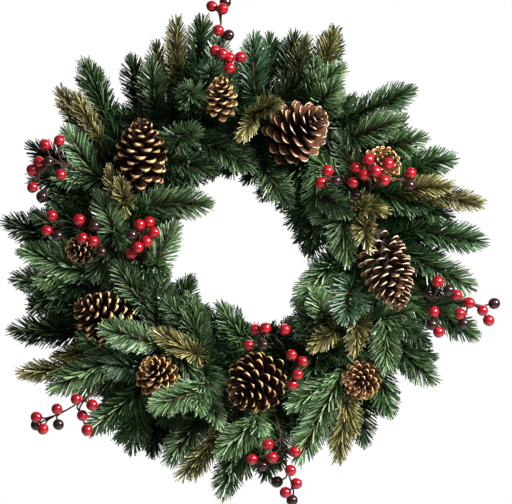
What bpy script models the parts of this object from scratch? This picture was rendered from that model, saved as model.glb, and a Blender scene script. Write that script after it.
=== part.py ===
"""Pine cone and berry wreath that hangs on a nail by its wire ring.

Metres, +Z up. The front faces -Y and the flat back faces +Y. The origin is where the nail catches the ring:
under the inner wire, at the top. The layout tables are in millimetres from the ring's centre: x to the right
and z up as seen from the front, and depth out from the wires towards the front.
"""

import itertools
import math
import random
from dataclasses import dataclass

import bmesh
import bpy
import numpy as np
from mathutils import Matrix, Quaternion, Vector

MM = 0.001

# Wire ring frame
INNER_RING_RADIUS = 150 * MM
OUTER_RING_RADIUS = 180 * MM
WIRE_HALF_THICKNESS = 2 * MM
RING_STEPS = 24
TIE_COUNT = 5
TIE_WIDTH = 10 * MM
TIE_FRONT, TIE_BACK = 0.4 * MM, 2.5 * MM
TIE_OVERRUN = 1.2 * MM
RING_CENTRE_Z = -(INNER_RING_RADIUS - WIRE_HALF_THICKNESS)

# Wires folded over the ring. Each sits on the front of a ring wire with a flat side
STEM_RADIUS = 1.3 * MM
STEM_RADIUS_AT_TIP = 0.8 * MM
SEAT_GAP = 0.3 * MM
SEAT_DEPTH = WIRE_HALF_THICKNESS + SEAT_GAP + STEM_RADIUS * 0.5
FOLD_EASE = 5 * MM
FOLD_REACH, FOLD_RISE = 9 * MM, 3.6 * MM
BARE_STEP = 21 * MM
CLEAR = 0.5 * MM
ROUTE_STEP = 4 * MM
ROUTE_SHIFTS = range(-14, 15, 2)
ROUTE_BOWS = range(-8, 25, 4)

# Needles, in whorls of six. A needle that would touch something turns aside or is shorter
WHORL_BAND = 2.2 * MM
BARE_BY_RING = 18 * MM
NEEDLE_RADIUS = 1.1 * MM
NEEDLE_TIP_RADIUS = 0.15 * MM
NEEDLE_LEAN = math.radians(52)
NEEDLE_LEAN_AT_TIP = math.radians(30)
NEEDLE_TURNS = (0, 14, -14, 28, -28)
NEEDLE_SHARES = (1.0, 0.8, 0.62, 0.45)
NEEDLE_JITTER = math.radians(6)
END_NEEDLE = 0.7
OWN_START = 7 * MM
BACK_LIMIT = 0.5 * MM

# Berries on short twigs
BERRY_RADIUS = 6.2 * MM
TWIG_RADIUS = 0.7 * MM
TWIG_NECK = 1 * MM
TWIG_TURN_COST = 12 * MM
BERRY_PUSH = 1.5 * MM
BERRY_PUSHES = 30

# Pine cones, as shares of the length from base to apex and of the widest radius
CONE_CORE_END = 0.86
CONE_CORE_RADIUS = 0.3
CONE_POINT = 0.04
RIM_SPREAD = 0.7
RIM_SIDE = 0.93
RIM_CURL = 0.08
CONE_FOOT = 9 * MM


@dataclass(frozen=True)
class Needles:
    """How a kind of branch is set with needles."""

    length: float
    spacing: float
    whorls: int
    tip: float


GREEN_NEEDLES = Needles(length=23 * MM, spacing=16 * MM, whorls=5, tip=5 * MM)
GOLD_NEEDLES = Needles(length=15 * MM, spacing=15 * MM, whorls=4, tip=4 * MM)
TWIG_STARTS = Needles(length=0.0, spacing=13 * MM, whorls=4, tip=4 * MM)

# Pine cones: name, base x, z, depth, apex x, z, depth, widest radius, scales in a row, rows
CONES = (
    ("cone_upper_left", (-127, 76, 36), (-121, 146, 80), 33, 8, 6),
    ("cone_upper_right", (38, 123, 24), (80, 148, 88), 33, 8, 6),
    ("cone_right", (158, 4, 34), (184, -68, 80), 32, 8, 6),
    ("cone_left", (-147, -97, 33), (-200, -69, 80), 31, 8, 6),
    ("cone_bottom", (27, -154, 24), (-9, -179, 92), 33, 8, 6),
    ("cone_lower_left", (-101, -166, 28), (-116, -145, 80), 27, 7, 5),
    ("cone_top", (-32, 156, 34), (-32, 188, 76), 19, 7, 5),
    ("cone_right_high", (158, 91, 26), (165, 101, 78), 24, 7, 5),
    ("cone_lower_right", (143, -161, 26), (134, -166, 78), 24, 7, 5),
    ("cone_left_high", (-188, -5, 28), (-203, -4, 68), 19, 7, 5),
)

# Berry sprays: name, the line of each arm from the ring outwards, and the berries
SPRAYS = (
    (
        "berries_top",
        (((-24, 200, 45), (-30, 234, 62), (-34, 262, 64), (-34, 276, 66)),),
        (
            (-42, 286, 62), (-30, 286, 70), (-20, 292, 62), (-34, 256, 76), (-42, 234, 70),
            (-28, 229, 76), (-17, 224, 66), (-20, 211, 72), (-22, 251, 66),
        ),
    ),
    (
        "berries_upper_right",
        (
            ((116, 78, 46), (112, 76, 74), (98, 80, 78)),
            ((144, 58, 54), (148, 68, 88), (166, 76, 98), (184, 78, 92)),
        ),
        (
            (144, 101, 92), (129, 92, 84), (167, 96, 100), (139, 83, 98), (152, 87, 104),
            (162, 76, 108), (126, 74, 92), (96, 88, 80), (88, 74, 78), (194, 85, 90),
            (130, 59, 76), (106, 76, 90), (193, 71, 92),
        ),
    ),
    (
        "berries_right",
        (((200, -52, 50), (226, -62, 62), (256, -70, 66), (284, -76, 66)),),
        (
            (228, -44, 68), (250, -60, 76), (265, -69, 74), (281, -78, 74), (289, -90, 66),
            (223, -80, 70), (229, -104, 66), (254, -82, 76), (240, -54, 62), (296, -70, 62),
            (221, -95, 62), (259, -94, 66),
        ),
    ),
    (
        "berries_bottom",
        (((34, -205, 40), (44, -240, 56), (48, -268, 62), (56, -292, 62)),),
        (
            (25, -239, 62), (30, -254, 68), (6, -257, 56), (57, -247, 68), (52, -269, 74),
            (59, -285, 70), (46, -296, 66), (19, -264, 58), (36, -284, 58), (54, -306, 58),
        ),
    ),
    (
        "berries_hole_edge",
        (
            ((40, -118, 40), (30, -108, 62), (20, -108, 72)),
            ((56, -132, 46), (56, -140, 66), (58, -152, 76)),
        ),
        (
            (10, -101, 72), (22, -99, 80), (2, -120, 70), (45, -101, 72), (19, -119, 84),
            (53, -131, 84), (66, -139, 78), (60, -154, 88), (54, -166, 82),
        ),
    ),
    (
        "berries_lower_left",
        (((-158, -150, 18), (-184, -176, 42), (-213, -196, 60), (-238, -208, 60)),),
        (
            (-252, -206, 64), (-244, -220, 66), (-227, -196, 70), (-197, -204, 64),
            (-185, -191, 72), (-204, -184, 72), (-192, -222, 56), (-256, -219, 54),
            (-226, -215, 60),
        ),
    ),
    (
        "berries_left",
        (((-176, 22, 44), (-192, 20, 66), (-208, 21, 72), (-226, 23, 68)),),
        (
            (-233, 35, 72), (-239, 17, 70), (-200, 30, 80), (-196, 8, 80), (-183, 4, 84),
            (-226, 11, 74), (-182, 23, 78), (-174, -8, 72),
        ),
    ),
    (
        "berries_upper_left",
        (((-182, 82, 38), (-206, 92, 56), (-232, 98, 64), (-246, 86, 62)),),
        (
            (-242, 120, 62), (-225, 125, 60), (-251, 104, 66), (-257, 90, 62), (-223, 84, 68),
            (-257, 69, 60), (-237, 99, 74), (-246, 58, 56),
        ),
    ),
    (
        "berries_inner_left",
        (((-140, 12, 44), (-130, 14, 64), (-124, 14, 72)),),
        (
            (-117, 27, 72), (-111, 15, 74), (-128, 24, 80), (-120, 4, 76), (-130, -3, 80),
            (-138, -10, 74), (-137, 12, 84),
        ),
    ),
)

# Gold branch wires: each tip's place, then the place where it leaves the bundle at the ring
GOLD_BRANCHES = (
    (((-84, 274, 40), (-80, 218, 30)), ((-110, 246, 30), (-106, 206, 22))),
    (((-218, 190, 40), (-192, 138, 30)), ((-166, 94, 66), (-150, 50, 44))),
    (((106, 260, 42), (88, 208, 30)), ((73, 252, 34), (62, 216, 24))),
    (((37, 170, 98), (12, 160, 40)),),
    (((284, 54, 48), (220, 66, 36)), ((248, 82, 56), (206, 76, 42))),
    (((168, 38, 78), (138, 50, 52)), ((148, -8, 74), (140, 18, 50))),
    (((78, -122, 60), (100, -112, 46)), ((126, -128, 66), (136, -96, 46))),
    (((109, -258, 40), (106, -190, 30)), ((130, -230, 48), (118, -188, 36))),
    (((-114, -98, 64), (-60, -128, 50)),),
    (((-276, -148, 40), (-200, -134, 34)),),
    (((-77, -282, 34), (-36, -240, 24)),),
)

# Green branch wires, in the same way
GREEN_BRANCHES = (
    (((-190, 220, 34), (-152, 124, 18)), ((-212, 139, 56), (-174, 92, 30))),
    (((-144, 222, 24), (-124, 160, 12)), ((-116, 222, 46), (-112, 170, 26))),
    (((-50, 274, 30), (-56, 208, 16)), ((-68, 186, 92), (-66, 172, 34))),
    (((6, 256, 40), (4, 186, 22)), ((25, 246, 22), (22, 196, 12))),
    (((52, 256, 30), (48, 186, 16)), ((120, 218, 60), (78, 184, 34))),
    (((114, 262, 22), (100, 214, 12)), ((118, 196, 70), (92, 172, 38))),
    (((199, 196, 34), (122, 152, 18)), ((184, 152, 58), (128, 130, 36))),
    (((216, 138, 40), (176, 116, 24)), ((250, 104, 34), (182, 94, 18))),
    (((284, 6, 30), (204, 18, 18)), ((272, -52, 44), (200, -12, 22))),
    (((277, -114, 30), (206, -72, 16)), ((229, -162, 36), (184, -112, 22))),
    (((168, -150, 62), (164, -84, 34)), ((176, -205, 34), (158, -148, 16))),
    (((145, -240, 26), (134, -184, 14)), ((64, -264, 66), (112, -158, 38))),
    (((25, -282, 34), (16, -216, 18)), ((-31, -300, 44), (-8, -232, 24))),
    (((-35, -252, 66), (12, -206, 40)), ((-95, -262, 48), (-58, -212, 26))),
    (((-110, -258, 20), (-106, -206, 12)), ((-160, -238, 28), (-124, -194, 14))),
    (((-191, -224, 40), (-132, -176, 24)), ((-236, -172, 56), (-164, -140, 36))),
    (((-284, -100, 22), (-200, -100, 12)), ((-262, -66, 18), (-204, -76, 10))),
    (((-282, -36, 40), (-200, -46, 22)), ((-270, -6, 58), (-200, -30, 34))),
    (((-290, 34, 24), (-216, 8, 12)), ((-256, 40, 34), (-208, 20, 20))),
    (((-262, 125, 26), (-214, 96, 14)), ((-176, 62, 62), (-160, 14, 36))),
    (((-46, 58, 46), (-116, 54, 34)), ((-84, 25, 64), (-112, -30, 50))),
    (((-157, -22, 60), (-128, -68, 40)), ((-178, -88, 12), (-128, -84, 9))),
    (((-102, -64, 44), (-66, -104, 30)), ((-68, -40, 26), (-92, -92, 14))),
    (((-113, -194, 90), (-48, -166, 46)), ((-173, -144, 54), (-130, -146, 32))),
    (((-30, -71, 34), (2, -116, 20)), ((61, -92, 40), (86, -118, 22))),
    (((58, -72, 44), (106, -16, 30)), ((118, -92, 88), (124, -54, 44))),
    (((76, -12, 26), (74, 50, 14)), ((120, -22, 56), (116, 30, 40))),
    (((4, 96, 40), (-26, 124, 26)), ((50, 50, 50), (24, 88, 30))),
    (((-62, 134, 100), (-84, 128, 40)), ((-38, 216, 80), (-50, 190, 36))),
)

RING_OWNER = 0
SEED = 11


def place(x, z, depth):
    """A point of the layout, given in millimetres from the ring's centre, in the part's frame."""
    return Vector((x * MM, -depth * MM, RING_CENTRE_Z + z * MM))


def on_ring(angle, radius):
    """The seat of a wire's fold on the front of a ring wire, at an angle from +X.

    The hoops have flat stretches between their corners, and the seat lies on the middle of the stretch.
    """
    half = math.pi / RING_STEPS
    chord = radius * math.cos(half) / math.cos(angle % (2 * half) - half)
    return Vector((chord * math.cos(angle), -SEAT_DEPTH, RING_CENTRE_Z + chord * math.sin(angle)))


def new_material(name, colour, roughness, metallic=0.0):
    """A plain Principled material."""
    material = bpy.data.materials.new(name)
    material.use_nodes = True
    shader = material.node_tree.nodes["Principled BSDF"]
    shader.inputs["Base Color"].default_value = (*colour, 1.0)
    shader.inputs["Roughness"].default_value = roughness
    shader.inputs["Metallic"].default_value = metallic
    return material


def new_object(name, bm, material):
    """Turns a bmesh into an object with its normals out."""
    bmesh.ops.recalc_face_normals(bm, faces=bm.faces)
    mesh = bpy.data.meshes.new(name)
    bm.to_mesh(mesh)
    bm.free()
    mesh.materials.append(material)
    thing = bpy.data.objects.new(name, mesh)
    bpy.context.scene.collection.objects.link(thing)
    return thing


class Clearance:
    """Everything placed so far, as tapering rods, and how far a new rod stays from them.

    A rod runs from one point to another, with a radius at each. A ball is a rod of no length.
    """

    def __init__(self, room=12000):
        self.rods = np.zeros((room, 8))
        self.owners = np.zeros(room, dtype=int)
        self.count = 0

    def add(self, start, end, start_radius, end_radius, owner):
        self.rods[self.count] = (*start, *end, start_radius, end_radius)
        self.owners[self.count] = owner
        self.count += 1

    def gap(self, start, end, start_radius, end_radius, skip=(), only=None):
        """The least gap to the rods placed, leaving out some owners' or reading only one owner's."""
        owners = self.owners[: self.count]
        chosen = ~np.isin(owners, skip) if only is None else owners == only
        rods = self.rods[: self.count][chosen]
        if not len(rods):
            return math.inf
        a, u = np.array(start), np.array(end) - np.array(start)
        c, v = rods[:, :3], rods[:, 3:6] - rods[:, :3]
        w = a - c
        uu, vv = max(u @ u, 1e-12), np.maximum((v * v).sum(1), 1e-12)
        uv, uw, vw = v @ u, w @ u, (v * w).sum(1)
        det = uu * vv - uv * uv
        s = np.where(det > 1e-9 * uu * vv, (uv * vw - vv * uw) / np.maximum(det, 1e-18), 0.0)
        t = np.clip((uv * np.clip(s, 0, 1) + vw) / vv, 0, 1)
        s = np.clip((uv * t - uw) / uu, 0, 1)
        apart = np.linalg.norm(w + s[:, None] * u - t[:, None] * v, axis=1)
        own = start_radius + (end_radius - start_radius) * s
        other = rods[:, 6] + (rods[:, 7] - rods[:, 6]) * t
        return float((apart - own - other).min())


class Line:
    """A smooth line through given points, read by its length."""

    def __init__(self, points):
        padded = [points[0] * 2 - points[1], *points, points[-1] * 2 - points[-2]]
        dense = []
        for p0, p1, p2, p3 in zip(padded, padded[1:], padded[2:], padded[3:]):
            for t in np.linspace(0, 1, 16, endpoint=False):
                bend = p0 * -1 + p1 * 3 - p2 * 3 + p3
                turn = p0 * 2 - p1 * 5 + p2 * 4 - p3
                dense.append(p1 + ((p2 - p0) * t + turn * t**2 + bend * t**3) * 0.5)
        dense.append(points[-1])
        self.dense = np.array([tuple(point) for point in dense])
        steps = np.linalg.norm(np.diff(self.dense, axis=0), axis=1)
        self.lengths = np.concatenate([[0.0], np.cumsum(steps)])
        self.length = float(self.lengths[-1])

    def at(self, length):
        return Vector([float(np.interp(length, self.lengths, self.dense[:, axis])) for axis in range(3)])

    def length_near(self, point):
        """The length at which the line passes nearest to a point."""
        return float(self.lengths[np.linalg.norm(self.dense - np.array(tuple(point)), axis=1).argmin()])


class Sweep:
    """A slim three-sided stem along stations, each ring turned half a side from the last.

    Every band between two rings is six triangles, which can each be drawn out to a needle or a twig.
    """

    def __init__(self, bm, points, radii, seat=0):
        self.bm, self.points = bm, points
        count = len(points)
        steps = [(b - a).normalized() for a, b in zip(points, points[1:])]
        self.tangents = [
            (steps[max(i - 1, 0)] + steps[min(i, count - 2)]).normalized() for i in range(count)
        ]
        front = Vector((0, -1, 0))
        normals = [None] * count
        along = self.tangents[seat]
        normals[seat] = (front - along * front.dot(along)).normalized()
        for order in (range(seat + 1, count), range(seat - 1, -1, -1)):
            last = seat
            for i in order:
                turn = self.tangents[last].rotation_difference(self.tangents[i])
                normals[i] = turn @ normals[last]
                last = i
        self.rings = []
        for i, (point, radius) in enumerate(zip(points, radii)):
            start = math.pi / 3 * ((i - seat) % 2)
            ring = []
            for side in range(3):
                turn = Quaternion(self.tangents[i], start + math.tau / 3 * side)
                ring.append(bm.verts.new(point + turn @ normals[i] * radius))
            self.rings.append(ring)
        self.bands = [self.band(i, seat) for i in range(count - 1)]

    def band(self, i, seat):
        """The six triangles between ring i and the next, in order round the stem."""
        lower, upper = self.rings[i], self.rings[i + 1]
        ahead = (i - seat) % 2
        faces = []
        for side in range(3):
            after = (side + 1) % 3
            if ahead:
                faces.append(self.bm.faces.new((lower[side], upper[after], upper[side])))
                faces.append(self.bm.faces.new((lower[side], lower[after], upper[after])))
            else:
                faces.append(self.bm.faces.new((lower[side], lower[after], upper[side])))
                faces.append(self.bm.faces.new((lower[after], upper[after], upper[side])))
        return faces

    def cap(self, ring):
        return self.bm.faces.new(self.rings[ring])


def folded_line(seat, arms, bows):
    """The line of a wire folded over the ring: in along one arm, over the seat, and out along the other.

    A bow carries its arm's start forwards, its middle by half as much, and leaves its end in place.
    """
    forward = Vector((0, -1, 0))
    sides = []
    for arm, bow in zip(arms, bows):
        rise = seat + (arm[0] - seat).normalized() * FOLD_REACH + forward * FOLD_RISE
        middle = [point + forward * bow * MM * 0.5 for point in arm[1:-1]]
        sides.append([rise, arm[0] + forward * bow * MM, *middle, arm[-1]])
    points = [*reversed(sides[0]), seat, *sides[1]] if len(sides) > 1 else [seat, *sides[0]]
    line = Line(points)
    return line, line.length_near(seat)


def route_wire(clearance, name, arms, owner):
    """Finds where a wire sits on the ring and how far its arms bow forwards to stay clear of the rest.

    Tries start at the ring wire and angle nearest to the arms, with no bow, and go on from there.
    """
    middle = sum((arm[0] for arm in arms), Vector()) / len(arms)
    angle = math.atan2(middle.z - RING_CENTRE_Z, middle.x)
    out = math.hypot(middle.x, middle.z - RING_CENTRE_Z)
    wires = sorted((INNER_RING_RADIUS, OUTER_RING_RADIUS), key=lambda wire: abs(wire - out))
    tries = sorted(
        (abs(shift) + sum(map(abs, bows)) * 0.5 + choice * 3, shift, bows, wires[choice])
        for shift in ROUTE_SHIFTS
        for bows in itertools.product(ROUTE_BOWS, repeat=len(arms))
        for choice in (0, 1)
    )
    for _, shift, bows, wire in tries:
        seat = on_ring(angle + math.radians(shift), wire)
        line, at_seat = folded_line(seat, arms, bows)
        points = [line.at(length) for length in np.arange(0, line.length, ROUTE_STEP)]
        low = [point for point in points if (point - seat).length > FOLD_EASE]
        if min(-point.y for point in low) < WIRE_HALF_THICKNESS + STEM_RADIUS + SEAT_GAP:
            continue
        gaps = (
            clearance.gap(a, b, STEM_RADIUS, STEM_RADIUS, skip=(RING_OWNER, owner))
            for a, b in zip(points, points[1:])
        )
        if all(gap > 2 * CLEAR for gap in gaps):
            return line, at_seat
    raise ValueError(f"no clear way from the ring for {name}")


def arm_rings(reach, needles):
    """How far an arm's rings lie from the seat, out to its tip, and whether a whorl starts there."""
    whorls = [reach - needles.tip - needles.spacing * k for k in range(needles.whorls)]
    rings = [(FOLD_EASE, False)]
    for mark in [*sorted(whorl for whorl in whorls if whorl > BARE_BY_RING), reach]:
        last = rings[-1][0]
        bare = max(0, round((mark - last) / BARE_STEP) - 1)
        rings.extend((last + (mark - last) * (k + 1) / (bare + 1), False) for k in range(bare))
        if mark < reach:
            rings.append((mark - WHORL_BAND / 2, True))
            rings.append((mark + WHORL_BAND / 2, False))
    rings.append((reach, False))
    return rings


class Branch:
    """A wire folded over the ring, with whorls of faces for needles or twigs on each arm."""

    def __init__(self, clearance, name, owner, needles, arms):
        self.name, self.owner, self.needles = name, owner, needles
        self.bm = bmesh.new()
        line, at_seat = route_wire(clearance, name, arms, owner)
        before = arm_rings(at_seat, needles) if len(arms) > 1 else []
        after = arm_rings(line.length - at_seat, needles)
        lengths = [at_seat - reach for reach, _ in reversed(before)]
        lengths += [at_seat, *(at_seat + reach for reach, _ in after)]
        radii = [STEM_RADIUS] * len(lengths)
        radii[-1] = STEM_RADIUS_AT_TIP
        if before:
            radii[0] = STEM_RADIUS_AT_TIP
        seat = len(before)
        self.points = [line.at(length) for length in lengths]
        self.sweep = Sweep(self.bm, self.points, radii, seat)
        self.whorls = [(seat - 2 - k, -1) for k, (_, starts) in enumerate(before) if starts]
        self.whorls += [(seat + 1 + k, 1) for k, (_, starts) in enumerate(after) if starts]
        self.two_armed = bool(before)
        for a, b in zip(self.points, self.points[1:]):
            clearance.add(a, b, STEM_RADIUS, STEM_RADIUS, owner)

    def close_ends(self):
        """Caps both ends and returns the caps that are tips, with the way each one points."""
        start, end = self.sweep.cap(0), self.sweep.cap(-1)
        return [(end, 1), (start, -1)] if self.two_armed else [(end, 1)]

    def whorl_axis(self, band, way):
        """The middle of a whorl and the direction of its tip."""
        near, far = self.points[band], self.points[band + 1]
        return (near + far) / 2, (far - near).normalized() * way


def clear_of_all(clearance, owner, root, end, radius, end_radius):
    """Whether a needle or a twig stays clear of other pieces, and past its own root of its own piece."""
    reach = (end - root).length
    past = root.lerp(end, min(OWN_START / reach, 0.8))
    if clearance.gap(root, end, radius, end_radius, skip=(owner,)) < CLEAR:
        return False
    return clearance.gap(past, end, end_radius, end_radius, only=owner) > CLEAR


def draw_needle(clearance, branch, face, centre, tangent, lean, length, rng):
    """Draws a face out to a needle, turned aside or shortened until it is clear, or leaves it flat."""
    root = face.calc_center_median()
    outward = root - centre
    outward = (outward - tangent * outward.dot(tangent)).normalized()
    aside = rng.uniform(-NEEDLE_JITTER, NEEDLE_JITTER)
    lean += rng.uniform(-NEEDLE_JITTER, NEEDLE_JITTER)
    for share in NEEDLE_SHARES:
        for turn in NEEDLE_TURNS:
            around = Quaternion(tangent, math.radians(turn) + aside) @ outward
            end = root + (tangent * math.cos(lean) + around * math.sin(lean)) * length * share
            if end.y > BACK_LIMIT:
                continue
            if clear_of_all(clearance, branch.owner, root, end, NEEDLE_RADIUS, NEEDLE_TIP_RADIUS):
                clearance.add(root, end, NEEDLE_RADIUS, NEEDLE_TIP_RADIUS, branch.owner)
                bmesh.ops.poke(branch.bm, faces=[face])["verts"][0].co = end
                return


def set_needles(clearance, branches, rng):
    """Sets every branch with needles, the outermost whorls of all branches first."""
    waiting = []
    for branch in branches:
        for face, way in branch.close_ends():
            end = 0 if way < 0 else -1
            tangent = branch.sweep.tangents[end] * way
            root = face.calc_center_median()
            tip = root + tangent * branch.needles.length * END_NEEDLE
            clearance.add(root, tip, NEEDLE_RADIUS, NEEDLE_TIP_RADIUS, branch.owner)
            bmesh.ops.poke(branch.bm, faces=[face])["verts"][0].co = tip
        for band, way in branch.whorls:
            from_tip = band - 1 if way < 0 else len(branch.points) - 3 - band
            waiting.append((from_tip, branch.owner, band, way, branch))
    for from_tip, _, band, way, branch in sorted(waiting, key=lambda item: item[:4]):
        centre, tangent = branch.whorl_axis(band, way)
        lean = NEEDLE_LEAN if from_tip else NEEDLE_LEAN_AT_TIP
        for face in branch.sweep.bands[band]:
            draw_needle(clearance, branch, face, centre, tangent, lean, branch.needles.length, rng)


def join_loops(bm, ring, other):
    """Joins two closed loops of vertices with triangles, whatever their counts."""
    middle = sum((vertex.co for vertex in ring), Vector()) / len(ring)
    axis = (sum((vertex.co for vertex in other), Vector()) / len(other) - middle).normalized()
    across = (ring[0].co - middle).normalized()
    across = (across - axis * across.dot(axis)).normalized()
    up = axis.cross(across)

    def turned(loop):
        centre = sum((vertex.co for vertex in loop), Vector()) / len(loop)
        marks = [
            (math.atan2((v.co - centre).dot(up), (v.co - centre).dot(across)) % math.tau, i)
            for i, v in enumerate(loop)
        ]
        return [(angle, loop[i]) for angle, i in sorted(marks)]

    first, second = turned(ring), turned(other)
    i = j = 0
    while i < len(first) or j < len(second):
        next_i = first[(i + 1) % len(first)][0] + math.tau * ((i + 1) // len(first))
        next_j = second[(j + 1) % len(second)][0] + math.tau * ((j + 1) // len(second))
        a, b = first[i % len(first)][1], second[j % len(second)][1]
        if j >= len(second) or (i < len(first) and next_i <= next_j):
            i += 1
            bm.faces.new((a, first[i % len(first)][1], b))
        else:
            j += 1
            bm.faces.new((a, second[j % len(second)][1], b))


def rim_profile(share):
    """The radius of the open scales' rims along a cone, as a share of the widest."""
    return math.sin(math.pi * (0.3 + 0.62 * share)) ** 0.8


def rim_height(share):
    """How far along a cone a row's rims lie, as a share of its length, from base to apex."""
    return 0.09 + 0.88 * share**0.95


def core_profile(share):
    """The radius of the core that the scales grow from, as a share of the widest rim."""
    return CONE_CORE_RADIUS * (1.0 - 0.7 * share**2)


def build_cone(clearance, owner, name, base, apex, radius, columns, rows):
    """An open pine cone on its wire stem: rows of rounded wedge scales, each row half a scale round."""
    base, apex, radius = place(*base), place(*apex), radius * MM
    length = (apex - base).length
    axis = (apex - base).normalized()
    across = axis.orthogonal().normalized()
    aside = axis.cross(across)
    step = math.tau / columns
    bm = bmesh.new()

    def vertex(turns, out, height):
        round_axis = across * math.cos(step * turns) + aside * math.sin(step * turns)
        return bm.verts.new(base + axis * height + round_axis * out)

    core = []
    for j in range(rows + 2):
        share = j / (rows + 1)
        out, height = core_profile(share) * radius, CONE_CORE_END * share * length
        core.append([vertex(k + j / 2, out, height) for k in range(columns)])
    last = (base, core_profile(0) * radius)
    for row in range(rows):
        share = row / (rows - 1)
        rim, height = rim_profile(share) * radius, rim_height(share) * length
        middle = base + axis * height
        clearance.add(last[0], middle, last[1], rim, owner)
        last = (middle, rim)
        for k in range(columns):
            turns = k + row / 2
            edge = [
                vertex(turns - RIM_SPREAD / 2, rim * RIM_SIDE, height),
                vertex(turns, rim, height + RIM_CURL * rim),
                vertex(turns + RIM_SPREAD / 2, rim * RIM_SIDE, height),
            ]
            outline = [core[row + 1][k - 1], *edge, core[row + 1][k]]
            for a, b in zip(outline, outline[1:]):
                bm.faces.new((a, b, core[row + 2][k - 1]))
                bm.faces.new((b, a, core[row][k]))
    tip = bm.verts.new(base + axis * length * (CONE_CORE_END + CONE_POINT))
    for k in range(columns):
        bm.faces.new((core[0][k - 1], core[0][k], core[1][k - 1]))
        bm.faces.new((core[-1][k - 1], core[-1][k], core[-2][k]))
        bm.faces.new((core[-1][k], core[-1][k - 1], tip))

    foot = base - axis * CONE_FOOT
    foot.y = min(foot.y, -CONE_FOOT)
    neck = base - axis * STEM_RADIUS
    line, _ = route_wire(clearance, name, [(foot, neck)], owner)
    count = max(4, round(line.length / BARE_STEP))
    points = [line.at(line.length * i / count) for i in range(count + 1)]
    stem = Sweep(bm, points, [STEM_RADIUS] * len(points))
    stem.cap(0)
    join_loops(bm, stem.rings[-1], core[0])
    for a, b in zip(points, points[1:]):
        clearance.add(a, b, STEM_RADIUS, STEM_RADIUS, owner)
    return bm


def hang_berry(clearance, spray, centre, starts):
    """Adds a berry on a twig drawn from the best free face of the spray's stem, clear of all else."""
    choices = []
    for face, middle in starts:
        root = face.calc_center_median()
        lean = (root - middle).normalized().dot((centre - root).normalized())
        choices.append(((centre - root).length + TWIG_TURN_COST * (1 - lean), len(choices), face, root))
    for _, _, face, root in sorted(choices, key=lambda choice: choice[:2]):
        heading = (centre - root).normalized()
        neck = centre - heading * (BERRY_RADIUS + TWIG_NECK)
        if (neck - root).dot(heading) < TWIG_NECK or face.normal.dot(heading) < 0.1:
            continue
        if clear_of_all(clearance, spray.owner, root, neck, TWIG_RADIUS, TWIG_RADIUS):
            break
    else:
        return False
    clearance.add(root, neck, TWIG_RADIUS, TWIG_RADIUS, spray.owner)
    clearance.add(centre, centre, BERRY_RADIUS, BERRY_RADIUS, spray.owner)
    starts.remove(next(start for start in starts if start[0] is face))

    bm = spray.bm
    end = bmesh.ops.extrude_discrete_faces(bm, faces=[face])["faces"][0]
    turn = end.normal.rotation_difference(heading)
    for vertex in end.verts:
        offset = turn @ (vertex.co - root)
        vertex.co = neck + offset.normalized() * TWIG_RADIUS
    ball = bmesh.ops.create_icosphere(bm, subdivisions=1, radius=BERRY_RADIUS)["verts"]
    facing = ball[0].link_faces[0]
    spin = facing.calc_center_median().normalized().rotation_difference(-heading)
    for vertex in ball:
        vertex.co = centre + spin @ vertex.co
    loops = [list(end.verts), list(facing.verts)]
    bmesh.ops.delete(bm, geom=[end, facing], context="FACES_ONLY")
    join_loops(bm, *loops)
    return True


def build_spray(clearance, owner, name, arms, berries):
    """A wire stem with berries on short twigs. A berry that has no room moves forwards until it has."""
    arms = [[place(*point) for point in arm] for arm in arms]
    spray = Branch(clearance, name, owner, TWIG_STARTS, arms)
    spray.close_ends()
    starts = []
    for band, way in spray.whorls:
        middle, _ = spray.whorl_axis(band, way)
        starts += [(face, middle) for face in spray.sweep.bands[band]]
    spray.bm.normal_update()
    for spot in berries:
        centre = place(*spot)
        for _ in range(BERRY_PUSHES):
            room = clearance.gap(centre, centre, BERRY_RADIUS, BERRY_RADIUS)
            if room > CLEAR and hang_berry(clearance, spray, centre, starts):
                break
            centre.y -= BERRY_PUSH
        else:
            raise ValueError(f"no room for the berry of {name} at {spot}")
    return spray.bm


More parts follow.
